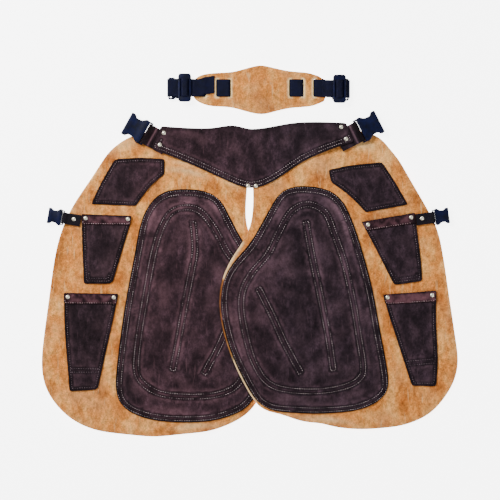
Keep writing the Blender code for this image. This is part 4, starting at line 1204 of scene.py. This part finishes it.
def put(body, node, rides_on, spot, turn, height):
    """Moves a finished plastic piece's mesh to its place, and lets it stand for its node."""
    place = Matrix.Translation(Vector((*spot, height)) * MM) @ Matrix.Rotation(math.radians(turn), 4, "Z")
    body.data.transform(place)
    body.data.set_sharp_from_angle(angle=math.radians(EDGE_ANGLE))
    body.data.materials.clear()
    body.data.materials.append(PLASTIC)
    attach(body, rides_on)
    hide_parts(node)
    print(body.name, len(body.data.polygons), "faces")


# %% Buckles
BUCKLE_LENGTH = 51.0
BUCKLE_THICKNESS = 10.0
BUCKLE_ROUND = 1.9
RAIL = 3.4
# Half outline: share of the length behind the slot, and half width as a share of the webbing's
HALF_BUCKLE = [
    (0.0, 0.62), (0.03, 0.69), (0.10, 0.73), (0.20, 0.72), (0.30, 0.63), (0.38, 0.565), (0.50, 0.535),
    (0.62, 0.53), (0.70, 0.555), (0.755, 0.63), (0.81, 0.685), (0.90, 0.70), (0.97, 0.69), (1.0, 0.66),
]
SOCKET_SHARE = 0.46
SOCKET_HALF = 3.2
SOCKET_START = 0.34
WINDOW = (0.40, 0.74)
LINE_START = 4.5
LINE_END = 5.6
LINE_DEPTH = 0.35
PAST = 20
# Height of the bar, webbing's width, size against the waist buckle, bore, strap's wall, slot, slit
BUCKLES = {"waist": (7.4, 38.0, 1.0, 3.0, 2.0, 47.2, 0.8), "leg": (6.0, 25.0, 0.68, 2.1, 1.5, 28.0, 0.3)}


def buckle(node, spot, turn, height, web, size, bore, strap_wall, slot, slit):
    slot_end = bore + strap_wall + slit
    length = BUCKLE_LENGTH * size
    bar = 0.6 * bore
    half = [(slot_end + share * (length - slot_end), width * web) for share, width in HALF_BUCKLE]
    body = closed_plate(node + "_moulding", half, BUCKLE_THICKNESS * size, BUCKLE_ROUND * size)
    rail_end = slot / 2 + RAIL * size
    face = BUCKLE_THICKNESS / 2 * size
    socket = SOCKET_HALF * size
    side = web * SOCKET_SHARE
    combine(body, [
        (block((-bar, -rail_end, -bar), (slot_end + 5, rail_end, bar), 0.4 * bar), "UNION"),
        (block((bar, -slot / 2, -PAST), (slot_end, slot / 2, PAST)), "DIFFERENCE"),
        (block((length * SOCKET_START, -side, -socket), (length + 10, side, socket)), "DIFFERENCE"),
        (block((length * WINDOW[0], -web, -socket), (length * WINDOW[1], web, socket)), "DIFFERENCE"),
        (block((slot_end + LINE_START * size, -web * 0.5, face - LINE_DEPTH),
               (slot_end + LINE_END * size, web * 0.5, PAST)), "DIFFERENCE"),
    ])
    put(body, node, node, spot, turn, height)


for kind, sizes in BUCKLES.items():
    for side in ("left", "right"):
        buckle(f"{side}_{kind}_buckle", *BARS[f"{side}_{kind}"], *sizes)

# %% Belt sliders
SLIDER_HALF = [(-14.3, 23.0), (-13.8, 26.4), (-12.0, 29.4), (-8.6, 31.0), (8.6, 31.0), (12.0, 29.4),
               (13.8, 26.4), (14.3, 23.0)]
SLIDER_ROUND = 1.1
OPENING = (10.3, 19.5, 10)
CENTRE_BAR = (2.5, 23.5)
BAR_WALL = 2.0

for side, spot in SLIDERS.items():
    node = side + "_belt_slider"
    low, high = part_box(node)
    thickness = (high.z - low.z) / MM
    base = -thickness / 2
    body = closed_plate(node + "_moulding", SLIDER_HALF, thickness, SLIDER_ROUND)
    combine(body, [
        (block([-value for value in OPENING], OPENING), "DIFFERENCE"),
        (block((-CENTRE_BAR[0], -CENTRE_BAR[1], base), (*CENTRE_BAR, BAR_WALL + base), 0.4), "UNION"),
    ])
    put(body, node, "apron", spot, 0.0, (high.z + low.z) / 2 / MM)

# %% Clips
for name, item in NODES.items():
    if not item.hide_render:
        item.data.materials.clear()
        item.data.materials.append(PLASTIC)
        print(name, "is plastic")
